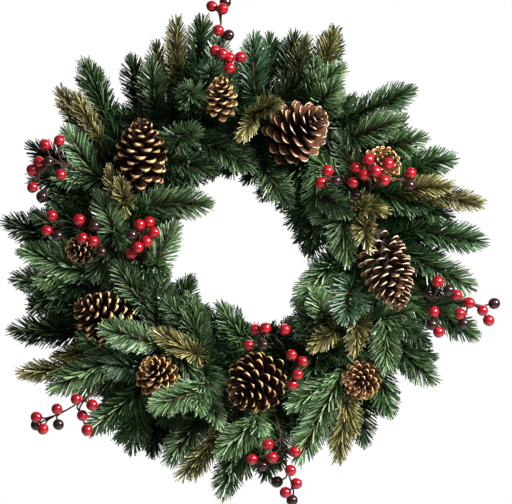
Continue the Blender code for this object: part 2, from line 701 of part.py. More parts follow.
def build_ring(clearance, material):
    """Two wire hoops with flat backs, joined by flat ties that stand a little proud at the back."""
    reach = WIRE_HALF_THICKNESS / math.cos(math.pi / 6)
    centre = Vector((0, 0, RING_CENTRE_Z))
    parts = []
    for radius in (INNER_RING_RADIUS, OUTER_RING_RADIUS):
        bm = bmesh.new()
        section = []
        for side in range(6):
            turn = math.pi / 6 + math.tau / 6 * side
            corner = (radius + reach * math.sin(turn), -reach * math.cos(turn), 0.0)
            section.append(bm.verts.new(corner))
        edges = [bm.edges.new((section[i - 1], section[i])) for i in range(6)]
        bmesh.ops.spin(
            bm,
            geom=section + edges,
            axis=(0, -1, 0),
            angle=math.tau,
            steps=RING_STEPS,
            use_merge=True,
        )
        bmesh.ops.remove_doubles(bm, verts=bm.verts, dist=0.01 * MM)
        bmesh.ops.translate(bm, verts=bm.verts, vec=centre)
        parts.append(new_object("ring_frame", bm, material))
        turns = [math.tau * k / RING_STEPS for k in range(RING_STEPS + 1)]
        corners = [centre + Vector((math.cos(turn), 0, math.sin(turn))) * radius for turn in turns]
        for a, b in zip(corners, corners[1:]):
            clearance.add(a, b, reach, reach, RING_OWNER)
    span = OUTER_RING_RADIUS - INNER_RING_RADIUS + 2 * TIE_OVERRUN
    for k in range(TIE_COUNT):
        bm = bmesh.new()
        size = (span, TIE_BACK - TIE_FRONT, TIE_WIDTH)
        bmesh.ops.create_cube(bm, size=1.0, matrix=Matrix.Diagonal((*size, 1.0)))
        middle = ((INNER_RING_RADIUS + OUTER_RING_RADIUS) / 2, (TIE_FRONT + TIE_BACK) / 2, 0)
        bmesh.ops.translate(bm, verts=bm.verts, vec=middle)
        turn = Matrix.Rotation(-math.pi / 2 + math.tau * k / TIE_COUNT, 3, (0, -1, 0))
        bmesh.ops.rotate(bm, verts=bm.verts, matrix=turn)
        bmesh.ops.translate(bm, verts=bm.verts, vec=centre)
        parts.append(new_object("tie", bm, material))
    join(parts)


def join(parts):
    """Joins objects into the first by one Boolean union, and removes the others."""
    first, *others = parts
    gathered = bpy.data.collections.new("joined")
    bpy.context.scene.collection.children.link(gathered)
    for other in others:
        bpy.context.scene.collection.objects.unlink(other)
        gathered.objects.link(other)
    union = first.modifiers.new("union", "BOOLEAN")
    union.operation = "UNION"
    union.operand_type = "COLLECTION"
    union.collection = gathered
    evaluated = first.evaluated_get(bpy.context.evaluated_depsgraph_get())
    joined = bpy.data.meshes.new_from_object(evaluated)
    first.modifiers.remove(union)
    first.data = joined
    for other in others:
        bpy.data.objects.remove(other)
    bpy.data.collections.remove(gathered)


def main():
    """Builds the ring, then what stands out most, then the branches that thread between, then needles."""
    for thing in list(bpy.data.objects):
        bpy.data.objects.remove(thing)
    ring_wire = new_material("ring_wire", (0.03, 0.07, 0.035), 0.45, 0.6)
    cone = new_material("cone", (0.27, 0.13, 0.055), 0.7)
    berries = new_material("berries", (0.58, 0.012, 0.025), 0.18)
    gold = new_material("needles_gold", (0.33, 0.27, 0.07), 0.5)
    green = new_material("needles_green", (0.03, 0.11, 0.04), 0.5)
    rng = random.Random(SEED)
    clearance = Clearance()

    build_ring(clearance, ring_wire)
    owners = itertools.count(RING_OWNER + 1)
    for name, *sizes in CONES:
        new_object(name, build_cone(clearance, next(owners), name, *sizes), cone)
    for name, arms, spots in SPRAYS:
        new_object(name, build_spray(clearance, next(owners), name, arms, spots), berries)
    branches = []
    for kind, layout, needles, material in (
        ("gold_branch", GOLD_BRANCHES, GOLD_NEEDLES, gold),
        ("green_branch", GREEN_BRANCHES, GREEN_NEEDLES, green),
    ):
        for number, tips in enumerate(layout, 1):
            arms = [[place(*root), place(*tip)] for tip, root in tips]
            name = f"{kind}_{number:02d}"
            branches.append((Branch(clearance, name, next(owners), needles, arms), material))
    set_needles(clearance, [branch for branch, _ in branches], rng)
    for branch, material in branches:
        new_object(branch.name, branch.bm, material)


main()
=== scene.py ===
"""Looks of the pine cone and berry wreath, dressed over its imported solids.

Metres, +Z up, front to -Y. The origin is where the nail catches the ring. The layout tables are in
millimetres from the ring's centre, as in the solids' source: x to the right and z up as seen from the front,
and depth out from the wires towards the front.
"""

import logging
import math
from collections.abc import Sequence
from dataclasses import dataclass, field
from enum import Enum
from typing import Any

import bmesh
import bpy
import numpy as np
from mathutils import Matrix, Vector

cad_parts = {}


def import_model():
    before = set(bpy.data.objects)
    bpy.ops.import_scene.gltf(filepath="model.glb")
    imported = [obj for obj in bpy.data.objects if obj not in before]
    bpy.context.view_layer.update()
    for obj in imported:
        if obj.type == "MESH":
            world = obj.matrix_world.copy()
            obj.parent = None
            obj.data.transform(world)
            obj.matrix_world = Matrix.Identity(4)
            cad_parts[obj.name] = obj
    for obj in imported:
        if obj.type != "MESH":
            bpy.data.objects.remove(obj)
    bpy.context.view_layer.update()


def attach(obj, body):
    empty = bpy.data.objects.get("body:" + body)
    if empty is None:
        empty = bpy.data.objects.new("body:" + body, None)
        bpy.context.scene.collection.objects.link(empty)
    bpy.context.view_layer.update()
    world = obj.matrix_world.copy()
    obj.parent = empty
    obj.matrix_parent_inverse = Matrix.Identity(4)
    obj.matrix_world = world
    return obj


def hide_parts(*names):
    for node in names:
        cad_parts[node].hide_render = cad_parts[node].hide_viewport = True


LOG = logging.getLogger("wreath")

MM = 0.001
RING_CENTRE_Z = -0.148
SEAT_DEPTH = 2.95
FOLD_REACH, FOLD_RISE = 9.0, 3.6
WALL_SIDE = -0.0008
GOLDEN_ANGLE = 2.39996
BERRY_ROOM = 0.0062

Spot = tuple[float, float, float]
Arm = tuple[Spot, ...]


class Tone(Enum):
    """How light and how blue the needles of a tip are: partly the tips' own mix of colours, partly painted
    light and shade, lighter where the light falls and darker in shade.
    """

    PINE = (0.0, 0.0)
    MID = (0.6, 0.0)
    LIGHT = (1.0, 0.0)
    BLUE = (0.3, 1.0)
    DARK = (-1.0, 0.25)
    GOLD = (0.0, 0.0)


@dataclass(frozen=True)
class Wire:
    """A wire folded over the ring: its seat there, and each arm's root and tip with the tip's tone."""

    name: str
    seat: tuple[float, float]
    arms: tuple[tuple[Spot, Spot, Tone], ...]


class Gilt(Enum):
    """The paint on a cone's rims."""

    GOLD = (0.80, 0.54, 0.23)
    CREAM = (0.90, 0.66, 0.44)


@dataclass(frozen=True)
class ConeSpot:
    """A pine cone: where it sits, its base, its apex, its widest radius, and what its scales are like.

    The scales have a number, a width and a thickness, the last as a share of a full one. Gilding says how far
    the gilt reaches in from the rims, and paleness how far the faces are painted lighter towards their rims:
    partly a cone's own paler wood, partly painted light.
    """

    name: str
    seat: tuple[float, float]
    base: Spot
    apex: Spot
    radius: float
    scales: int
    width: float
    thickness: float
    gilding: float
    paleness: float
    gilt: Gilt


@dataclass(frozen=True)
class Spray:
    """A berry spray: its seat, the line of each arm, its red berries and its dark ones."""

    name: str
    seat: tuple[float, float]
    arms: tuple[Arm, ...]
    red: tuple[Spot, ...]
    dark: tuple[Spot, ...]


PINE, MID, LIGHT, BLUE, DARK, GOLD = Tone.PINE, Tone.MID, Tone.LIGHT, Tone.BLUE, Tone.DARK, Tone.GOLD
GOLD_RIM, CREAM_RIM = Gilt.GOLD, Gilt.CREAM

CONES = (
    ConeSpot("cone_upper_left", (-132, 71), (-131, 69, 34), (-125, 151, 82),
             34, 70, 17, 1.1, 0.28, 0.05, GOLD_RIM),
    ConeSpot("cone_upper_right", (40, 144), (34, 119, 20), (91, 157, 90),
             38, 66, 17, 0.5, 0.20, 0.55, CREAM_RIM),
    ConeSpot("cone_right", (149, 11), (154, 14, 32), (184, -79, 82),
             34, 88, 12.5, 0.7, 0.24, 0.45, CREAM_RIM),
    ConeSpot("cone_left", (-145, -104), (-146, -102, 33), (-204, -70, 82),
             33, 62, 13.5, 1.2, 0.34, 0.05, GOLD_RIM),
    ConeSpot("cone_bottom", (30, -146), (30, -152, 24), (-15, -183, 94),
             37, 72, 14.5, 0.9, 0.28, 0.0, GOLD_RIM),
    ConeSpot("cone_lower_left", (-91, -155), (-101, -166, 28), (-116, -145, 80),
             28, 60, 10.5, 1.2, 0.6, 0.7, GOLD_RIM),
    ConeSpot("cone_top", (-31, 146), (-32, 152, 32), (-32, 202, 78),
             21, 48, 10.5, 1.2, 0.85, 0.9, GOLD_RIM),
    ConeSpot("cone_right_high", (156, 89), (158, 91, 26), (166, 102, 78),
             25, 58, 9, 0.9, 0.45, 0.8, GOLD_RIM),
    ConeSpot("cone_lower_right", (120, -133), (141, -161, 26), (132, -166, 78),
             25, 58, 9, 1.0, 0.45, 0.8, GOLD_RIM),
    ConeSpot("cone_left_high", (-179, -5), (-193, -6, 28), (-212, -6, 68),
             19, 42, 9, 1.2, 0.6, 0.3, GOLD_RIM),
)

SPRAYS = (
    Spray(
        "berries_top",
        (-21, 177),
        (((-24, 200, 45), (-28, 234, 62), (-31, 262, 64), (-31, 276, 66)),),
        ((-42, 286, 62), (-29, 282, 70), (-34, 256, 76), (-38, 232, 70), (-29, 228, 78), (-21, 224, 68),
         (-21, 211, 72), (-8, 226, 48)),
        ((-26, 291, 60), (-22, 251, 66)),
    ),
    Spray(
        "berries_upper_right",
        (132, 69),
        (
            ((116, 78, 46), (112, 76, 74), (98, 80, 78)),
            ((144, 58, 54), (148, 68, 88), (166, 76, 98), (184, 78, 92)),
        ),
        ((144, 101, 92), (129, 92, 84), (167, 96, 100), (139, 83, 98), (152, 87, 104), (162, 76, 108),
         (126, 74, 92), (96, 88, 80), (88, 74, 78), (194, 85, 90)),
        ((130, 59, 76), (106, 76, 90), (193, 71, 92)),
    ),
    Spray(
        "berries_right",
        (174, -45),
        (((200, -53, 46), (224, -63, 60), (250, -64, 66), (276, -73, 66)),),
        ((228, -44, 68), (250, -60, 76), (265, -69, 74), (281, -78, 74), (289, -90, 66), (223, -80, 70),
         (229, -104, 66), (254, -82, 76)),
        ((240, -54, 83), (296, -70, 62), (221, -95, 71), (259, -94, 66)),
    ),
    Spray(
        "berries_bottom",
        (29, -176),
        (((34, -205, 40), (44, -240, 56), (48, -268, 62), (56, -292, 62)),),
        ((25, -239, 62), (30, -254, 68), (6, -257, 56), (57, -247, 68), (52, -269, 74), (59, -285, 70),
         (46, -296, 66)),
        ((19, -264, 64), (36, -284, 58), (54, -306, 58)),
    ),
    Spray(
        "berries_hole_edge",
        (53, -139),
        (
            ((40, -118, 40), (30, -108, 62), (20, -108, 72)),
            ((56, -132, 46), (56, -140, 66), (58, -152, 76)),
        ),
        ((10, -101, 72), (22, -99, 80), (2, -120, 70), (45, -101, 72), (53, -131, 84), (66, -139, 78),
         (60, -154, 88), (54, -166, 82)),
        ((19, -119, 84),),
    ),
    Spray(
        "berries_lower_left",
        (-130, -124),
        (((-158, -150, 18), (-184, -176, 42), (-213, -196, 60), (-238, -208, 60)),),
        ((-252, -206, 64), (-244, -220, 66), (-227, -196, 70), (-197, -204, 64), (-185, -191, 72),
         (-204, -184, 72), (-192, -222, 56)),
        ((-253, -216, 52), (-226, -215, 60)),
    ),
    Spray(
        "berries_left",
        (-177, 22),
        (((-176, 22, 44), (-192, 20, 66), (-208, 21, 72), (-226, 23, 68)),),
        ((-233, 35, 72), (-239, 17, 70), (-200, 30, 80), (-196, 8, 80), (-183, 4, 84)),
        ((-226, 11, 74), (-182, 23, 78), (-174, -8, 72)),
    ),
    Spray(
        "berries_upper_left",
        (-163, 73),
        (((-182, 82, 38), (-206, 92, 56), (-232, 98, 64), (-246, 86, 62)),),
        ((-242, 120, 62), (-225, 125, 60), (-249, 99, 62), (-257, 90, 62), (-223, 84, 68), (-257, 69, 60)),
        ((-237, 99, 74), (-246, 58, 56)),
    ),
    Spray(
        "berries_inner_left",
        (-148, 13),
        (((-140, 12, 44), (-130, 14, 64), (-124, 14, 72)),),
        ((-117, 27, 72), (-111, 15, 74), (-128, 24, 80), (-120, 4, 76), (-130, -3, 82), (-138, -10, 74)),
        ((-137, 12, 84),),
    ),
)

GOLD_WIRES = (
    Wire("gold_branch_01", (-72, 164), (
        ((-84, 218, 30), (-86, 275, 40), GOLD),
        ((-106, 206, 22), (-110, 246, 30), GOLD),
    )),
    Wire("gold_branch_02", (-157, 87), (
        ((-196, 138, 30), (-228, 190, 40), GOLD),
        ((-150, 50, 44), (-166, 94, 66), GOLD),
    )),
    Wire("gold_branch_03", (60, 169), (
        ((88, 208, 30), (106, 260, 42), GOLD),
        ((62, 216, 24), (73, 252, 34), GOLD),
    )),
    Wire("gold_branch_04", (11, 149), (
        ((12, 160, 40), (37, 170, 98), GOLD),
    )),
    Wire("gold_branch_05", (170, 57), (
        ((220, 61, 36), (285, 49, 48), GOLD),
        ((206, 69, 42), (247, 71, 56), GOLD),
    )),
    Wire("gold_branch_06", (145, 36), (
        ((138, 50, 52), (168, 38, 78), GOLD),
        ((140, 18, 62), (148, -8, 74), GOLD),
    )),
    Wire("gold_branch_07", (112, -99), (
        ((104, -104, 46), (74, -124, 68), GOLD),
        ((132, -92, 46), (128, -132, 72), GOLD),
    )),
    Wire("gold_branch_08", (92, -155), (
        ((118, -186, 42), (109, -262, 56), GOLD),
        ((118, -188, 36), (130, -230, 48), GOLD),
    )),
    Wire("gold_branch_09", (-63, -135), (
        ((-62, -130, 50), (-114, -103, 66), GOLD),
    )),
    Wire("gold_branch_10", (-149, -100), (
        ((-200, -144, 38), (-275, -155, 52), GOLD),
    )),
    Wire("gold_branch_11", (-27, -177), (
        ((-38, -234, 34), (-83, -281, 46), GOLD),
    )),
)

# The tones also paint light and shade: tips on the right and lower left are set lighter where the light
# falls, those on the left darker in shade.
GREEN_WIRES = (
    Wire("green_branch_01", (-149, 99), (
        ((-157, 124, 18), (-197, 222, 34), PINE),
        ((-180, 82, 34), (-218, 139, 56), LIGHT),
    )),
    Wire("green_branch_02", (-104, 145), (
        ((-124, 160, 12), (-141, 228, 24), DARK),
        ((-112, 170, 26), (-116, 222, 46), PINE),
    )),
    Wire("green_branch_03", (-55, 171), (
        ((-60, 208, 16), (-54, 275, 30), PINE),
        ((-66, 172, 34), (-68, 186, 92), PINE),
    )),
    Wire("green_branch_04", (12, 178), (
        ((8, 186, 22), (9, 253, 40), BLUE),
        ((24, 196, 12), (29, 253, 22), PINE),
    )),
    Wire("green_branch_05", (52, 172), (
        ((50, 186, 16), (58, 256, 30), DARK),
        ((76, 184, 34), (114, 214, 60), LIGHT),
    )),
    Wire("green_branch_06", (80, 160), (
        ((92, 214, 12), (106, 262, 22), PINE),
        ((86, 170, 38), (110, 194, 70), LIGHT),
    )),
    Wire("green_branch_07", (119, 134), (
        ((120, 151, 18), (200, 188, 34), PINE),
        ((128, 130, 36), (184, 152, 58), PINE),
    )),
    Wire("green_branch_08", (144, 106), (
        ((170, 119, 24), (214, 129, 40), MID),
        ((182, 94, 10), (250, 104, 34), MID),
    )),
    Wire("green_branch_09", (180, 3), (
        ((204, 18, 18), (287, 4, 30), MID),
        ((200, -12, 22), (272, -52, 44), MID),
    )),
    Wire("green_branch_10", (162, -76), (
        ((206, -69, 16), (277, -110, 30), MID),
        ((178, -118, 22), (225, -166, 36), MID),
    )),
    Wire("green_branch_11", (141, -109), (
        ((164, -84, 34), (168, -150, 62), MID),
        ((156, -146, 16), (173, -205, 34), MID),
    )),
    Wire("green_branch_12", (104, -145), (
        ((132, -182, 14), (142, -241, 26), DARK),
        ((112, -158, 38), (60, -258, 64), LIGHT),
    )),
    Wire("green_branch_13", (3, -180), (
        ((16, -216, 18), (25, -282, 34), PINE),
        ((-8, -230, 24), (-30, -303, 44), PINE),
    )),
    Wire("green_branch_14", (-13, -178), (
        ((12, -206, 40), (-35, -252, 66), LIGHT),
        ((-58, -212, 30), (-95, -262, 48), PINE),
    )),
    Wire("green_branch_15", (-84, -158), (
        ((-108, -206, 12), (-114, -254, 20), DARK),
        ((-122, -192, 10), (-156, -236, 28), MID),
    )),
    Wire("green_branch_16", (-123, -131), (
        ((-132, -176, 24), (-191, -224, 40), MID),
        ((-164, -140, 36), (-236, -172, 56), LIGHT),
    )),
    Wire("green_branch_17", (-164, -71), (
        ((-200, -104, 12), (-286, -103, 22), DARK),
        ((-204, -76, 10), (-262, -66, 18), DARK),
    )),
    Wire("green_branch_18", (-176, -33), (
        ((-200, -46, 22), (-282, -41, 40), PINE),
        ((-200, -30, 34), (-270, -6, 58), LIGHT),
    )),
    Wire("green_branch_19", (-178, 12), (
        ((-216, 6, 12), (-293, 28, 24), DARK),
        ((-208, 16, 20), (-256, 34, 34), DARK),
    )),
    Wire("green_branch_20", (-172, 51), (
        ((-214, 90, 14), (-263, 120, 26), DARK),
        ((-160, 14, 36), (-176, 62, 62), LIGHT),
    )),
    Wire("green_branch_21", (-147, 21), (
        ((-116, 48, 34), (-44, 50, 46), PINE),
        ((-119, -28, 50), (-85, 25, 64), LIGHT),
    )),
    Wire("green_branch_22", (-129, -77), (
        ((-128, -68, 40), (-157, -22, 60), PINE),
        ((-128, -84, 5), (-178, -88, 12), LIGHT),
    )),
    Wire("green_branch_23", (-93, -116), (
        ((-66, -104, 30), (-102, -64, 44), PINE),
        ((-92, -92, 14), (-68, -40, 26), PINE),
    )),
    Wire("green_branch_24", (-74, -130), (
        ((-48, -166, 46), (-113, -194, 90), LIGHT),
        ((-130, -146, 28), (-173, -144, 54), BLUE),
    )),
    Wire("green_branch_25", (62, -135), (
        ((0, -116, 20), (-34, -73, 34), MID),
        ((86, -118, 22), (61, -92, 40), LIGHT),
    )),
    Wire("green_branch_26", (143, -44), (
        ((105, -24, 30), (58, -73, 44), LIGHT),
        ((124, -54, 44), (118, -92, 88), BLUE),
    )),
    Wire("green_branch_27", (137, 58), (
        ((86, 44, 14), (76, -12, 26), DARK),
        ((116, 30, 40), (120, -22, 56), LIGHT),
    )),
    Wire("green_branch_28", (-1, 150), (
        ((-26, 124, 26), (4, 96, 40), PINE),
        ((24, 88, 30), (50, 50, 50), PINE),
    )),
    Wire("green_branch_29", (-58, 137), (
        ((-84, 128, 40), (-62, 134, 100), PINE),
        ((-50, 190, 36), (-38, 216, 80), BLUE),
    )),
)


@dataclass(frozen=True)
class FillRow:
    """A row of short tips all round the ring, which fill the wreath between the tips that stand out."""

    count: int
    root: tuple[float, float]
    tip: tuple[float, float]
    swirl: float
    first: float
    tones: tuple[Tone, ...]
    size: float = 1.0


# The dark tones in the rows partly paint shade; the deep last row, all dark, is painted shade behind the
# tips.
FILL_ROWS = (
    FillRow(40, (172, 8), (248, 18), 7, 0, (PINE, DARK, PINE), 1.05),
    FillRow(38, (150, 10), (226, 26), -14, 5, (PINE, DARK, BLUE), 1.05),
    FillRow(34, (158, 18), (208, 40), 22, 2, (PINE, PINE, BLUE, DARK), 1.0),
    FillRow(28, (150, 18), (170, 42), 30, 8, (PINE, DARK), 1.0),
    FillRow(32, (158, 12), (70, 22), 14, 3, (DARK, PINE), 1.0),
    FillRow(26, (162, 18), (90, 36), -20, 9, (PINE, BLUE, PINE), 1.0),
    FillRow(24, (160, 7), (178, 9), 20, 4, (DARK,), 1.0),
)

# The dark tips that lie low in the wreath are painted shade.
FRONT_TIPS = (
    ("green_branch_22", (-104, -120, 46), (-162, -101, 90), LIGHT),
    ("green_branch_27", (84, 62, 40), (114, 44, 58), PINE),
    ("green_branch_25", (96, -96, 34), (84, -62, 62), LIGHT),
    ("gold_branch_04", (12, 158, 44), (-4, 134, 70), GOLD),
    ("gold_branch_06", (132, 40, 50), (140, 52, 78), GOLD),
    ("gold_branch_02", (-146, 46, 48), (-150, 70, 78), GOLD),
    ("green_branch_03", (-44, 196, 26), (-33, 238, 40), BLUE),
    ("green_branch_15", (-128, -186, 16), (-138, -238, 26), PINE),
    ("green_branch_13", (-2, -212, 20), (-3, -267, 34), PINE),
    ("green_branch_13", (26, -200, 24), (37, -256, 36), PINE),
    ("green_branch_10", (184, -90, 20), (210, -112, 30), MID),
    ("green_branch_20", (-214, 78, 20), (-249, 80, 34), DARK),
    ("green_branch_27", (98, 46, 14), (76, 4, 24), DARK),
    ("gold_branch_02", (-176, 124, 32), (-202, 172, 44), GOLD),
    ("gold_branch_11", (-38, -226, 30), (-62, -271, 42), GOLD),
    ("green_branch_25", (-8, -120, 14), (-44, -94, 20), DARK),
    ("green_branch_16", (-148, -146, 14), (-172, -171, 22), PINE),
    ("green_branch_29", (-78, 124, 9), (-104, 150, 14), DARK),
    ("green_branch_18", (-174, -42, 9), (-196, -70, 12), DARK),
    ("green_branch_27", (76, 54, 12), (60, 32, 20), DARK),
    ("gold_branch_10", (-190, -128, 30), (-223, -133, 42), GOLD),
    ("green_branch_08", (210, 44, 16), (235, 38, 26), MID),
    ("green_branch_07", (106, 158, 16), (121, 171, 24), PINE),
)

# Side shoots left out, as wire, arm and side: -1 is clockwise and 1 counter-clockwise, seen from the front
NO_SHOOT = {
    ("green_branch_02", 0, 1),
    ("green_branch_04", 0, 1),
    ("green_branch_08", 1, 1),
    ("green_branch_09", 0, -1),
    ("green_branch_09", 0, 1),
    ("green_branch_09", 1, 1),
    ("green_branch_10", 0, -1),
    ("green_branch_11", 1, 1),
    ("green_branch_17", 0, 1),
    ("green_branch_20", 0, -1),
    ("green_branch_25", 0, -1),
    ("green_branch_27", 0, -1),
    ("green_branch_28", 0, -1),
}

# The radius of the hole by the angle, counter-clockwise from the right
HOLE_EDGE = (
    (0, 106), (6, 106), (14, 72), (28, 64), (55, 52), (75, 62), (98, 80), (106, 91), (117, 89),
    (128, 96), (140, 106), (147, 76), (160, 79), (176, 92), (184, 108), (192, 99), (203, 104), (215, 84),
    (240, 86), (258, 93), (270, 96), (300, 101), (315, 92), (330, 78), (342, 80), (350, 94), (360, 106),
)

# Painted light and shade: the angles between which fill tips are painted a step lighter, on the side where
# the key light falls, and those between which they are painted dark, on the shaded side
SUNNY, SHADED = (-80, 40), (150, 215)

# How far the outer fill tips reach by the angle, as a share of their row's reach
REACH = (
    (0, 0.93), (7, 0.93), (16, 1.0), (22, 0.90), (28, 0.94), (34, 0.80), (40, 0.86), (55, 0.76),
    (62, 0.84), (72, 0.92), (94, 0.84), (120, 0.91), (131, 0.89), (146, 0.95), (152, 0.88), (160, 0.99),
    (170, 1.0), (178, 1.04), (184, 1.0), (195, 1.05), (202, 0.98), (208, 0.90), (214, 1.0), (225, 1.03),
    (236, 1.03), (240, 1.08), (249, 1.0), (258, 1.02), (263, 0.98), (272, 1.05), (290, 0.93), (305, 0.82),
    (312, 0.88), (318, 0.94), (324, 1.0), (331, 0.93), (338, 0.97), (345, 1.0), (355, 0.86), (360, 0.93),
)


def place(spot: Sequence[float]) -> Vector:
    """A point of the layout in the part's frame.

    Args:
        spot: x, z and depth in millimetres from the ring's centre.

    Returns:
        The point in metres.
    """
    x, z, depth = spot
    return Vector((x * MM, -depth * MM, RING_CENTRE_Z + z * MM))


def new_object(name: str, data: Any) -> bpy.types.Object:
    """A new object in the scene, at the origin."""
    thing = bpy.data.objects.new(name, data)
    bpy.context.scene.collection.objects.link(thing)
    return thing


class Socket:
    """A number or vector flowing between nodes, with the operators that add Math nodes."""

    def __init__(self, graph: "Graph", source: bpy.types.NodeSocket) -> None:
        """Wraps an output socket of a graph."""
        self.graph = graph
        self.source = source

    def _with(self, operation: str, *others: Any) -> "Socket":
        """The result of a Math node on this number and others."""
        return self.graph.math(operation, self, *others)

    def __add__(self, other: Any) -> "Socket":
        """Sum."""
        return self._with("ADD", other)

    def __radd__(self, other: Any) -> "Socket":
        """Sum, from the right."""
        return self._with("ADD", other)

    def __sub__(self, other: Any) -> "Socket":
        """Difference."""
        return self._with("SUBTRACT", other)

    def __rsub__(self, other: Any) -> "Socket":
        """Difference, from the right."""
        return self.graph.math("SUBTRACT", other, self)

    def __mul__(self, other: Any) -> "Socket":
        """Product."""
        return self._with("MULTIPLY", other)

    def __rmul__(self, other: Any) -> "Socket":
        """Product, from the right."""
        return self._with("MULTIPLY", other)

    def __truediv__(self, other: Any) -> "Socket":
        """Quotient."""
        return self._with("DIVIDE", other)

    def __pow__(self, other: Any) -> "Socket":
        """Power."""
        return self._with("POWER", other)

    def sin(self) -> "Socket":
        """Sine, of radians."""
        return self._with("SINE")

    def cos(self) -> "Socket":
        """Cosine, of radians."""
        return self._with("COSINE")

    def clamp(self, low: float = 0.0, high: float = 1.0) -> "Socket":
        """The number held between two limits."""
        return self._with("MAXIMUM", low)._with("MINIMUM", high)

    def over(self, limit: Any) -> "Socket":
        """1 where the number is over a limit, and 0 elsewhere."""
        return self._with("GREATER_THAN", limit)

    def ease(self, start: Any, end: Any, low: Any = 0.0, high: Any = 1.0) -> "Socket":
        """Eases the number.

        Args:
            start: where the number leaves low.
            end: where it meets high.
            low: the value before the start.
            high: the value past the end.

        Returns:
            The eased value.
        """
        sockets = {"Value": self, "From Min": start, "From Max": end, "To Min": low, "To Max": high}
        node = self.graph.make("ShaderNodeMapRange", {"interpolation_type": "SMOOTHSTEP"}, sockets)
        return self.graph.out(node)


class Graph:
    """Builds the nodes of one shader or geometry tree."""

    def __init__(self, tree: bpy.types.NodeTree) -> None:
        """Works on an empty tree."""
        self.tree = tree

    def make(
        self,
        kind: str,
        settings: dict[str, Any] | None = None,
        sockets: dict[Any, Any] | None = None,
    ) -> bpy.types.Node:
        """Adds a node.

        Args:
            kind: the node's type.
            settings: the node's properties, set first.
            sockets: values or links by the input's name or number.

        Returns:
            The node.
        """
        node = self.tree.nodes.new(kind)
        for key, value in (settings or {}).items():
            setattr(node, key, value)
        for key, value in (sockets or {}).items():
            self.feed(self._input(node, key), value)
        return node

    @staticmethod
    def _input(node: bpy.types.Node, key: Any) -> bpy.types.NodeSocket:
        """The input with a number, or the first shown one with a name."""
        if isinstance(key, int):
            return node.inputs[key]
        return next(socket for socket in node.inputs if socket.enabled and socket.name == key)

    def feed(self, target: bpy.types.NodeSocket, value: Any) -> None:
        """Links a socket or sets its value.

        Args:
            target: the input.
            value: a link, or a value.
        """
        if isinstance(value, Socket):
            value = value.source
        if isinstance(value, bpy.types.NodeSocket):
            self.tree.links.new(value, target)
        elif isinstance(value, (tuple, list, Vector)) and len(value) == 3 and target.type == "RGBA":
            target.default_value = (*value, 1.0)
        else:
            target.default_value = value

    def out(self, node: bpy.types.Node, name: str | None = None) -> Socket:
        """A shown output of a node, the first one unless it is named."""
        return Socket(self, next(s for s in node.outputs if s.enabled and name in (None, s.name)))

    def math(self, operation: str, *values: Any) -> Socket:
        """A Math node on up to three values."""
        return self.out(self.make("ShaderNodeMath", {"operation": operation}, dict(enumerate(values))))

    def vector(self, operation: str, *values: Any) -> Socket:
        """A Vector Math node.

        Args:
            operation: the node's operation.
            values: its inputs in order. A scale goes in last and is a number.

        Returns:
            Its result.
        """
        node = self.make("ShaderNodeVectorMath", {"operation": operation})
        names = [socket for socket in node.inputs if socket.enabled]
        for target, value in zip(names, values):
            self.feed(target, value)
        return self.out(node)

    def mix(self, share: Any, first: Any, second: Any, blend: str = "MIX") -> Socket:
        """Mixes two colours."""
        settings = {"data_type": "RGBA", "blend_type": blend}
        return self.out(self.make("ShaderNodeMix", settings, {"Factor": share, "A": first, "B": second}))

    def noise(self, where: Any, scale: float, detail: float = 2.0, roughness: float = 0.5) -> Socket:
        """A noise pattern's value at a place."""
        sockets = {"Vector": where, "Scale": scale, "Detail": detail, "Roughness": roughness}
        return self.out(self.make("ShaderNodeTexNoise", {}, sockets))


class Shade(Graph):
    """Builds a material: a Principled shader and what feeds it."""

    def __init__(self, name: str) -> None:
        """Starts an empty material."""
        self.material = bpy.data.materials.new(name)
        self.material.use_nodes = True
        super().__init__(self.material.node_tree)
        self.tree.nodes.clear()
        self.shader = self.make("ShaderNodeBsdfPrincipled")
        output = self.make("ShaderNodeOutputMaterial")
        self.tree.links.new(self.shader.outputs[0], output.inputs[0])

    def here(self) -> Socket:
        """The place on the object."""
        return self.out(self.make("ShaderNodeTexCoord"), "Object")

    def read(self, name: str) -> Socket:
        """A number stored on the mesh."""
        node = self.make("ShaderNodeAttribute", {"attribute_type": "GEOMETRY", "attribute_name": name})
        return self.out(node, "Fac")

    def bump(self, height: Any, distance: float, strength: float = 0.5) -> Socket:
        """A bump from a height."""
        sockets = {"Strength": strength, "Distance": distance, "Height": height}
        return self.out(self.make("ShaderNodeBump", {}, sockets))

    def finish(self, **sockets: Any) -> bpy.types.Material:
        """Feeds the shader.

        Args:
            sockets: values or links by the socket's name, with _ for a space.

        Returns:
            The material.
        """
        for name, value in sockets.items():
            self.feed(self._input(self.shader, name.replace("_", " ")), value)
        return self.material


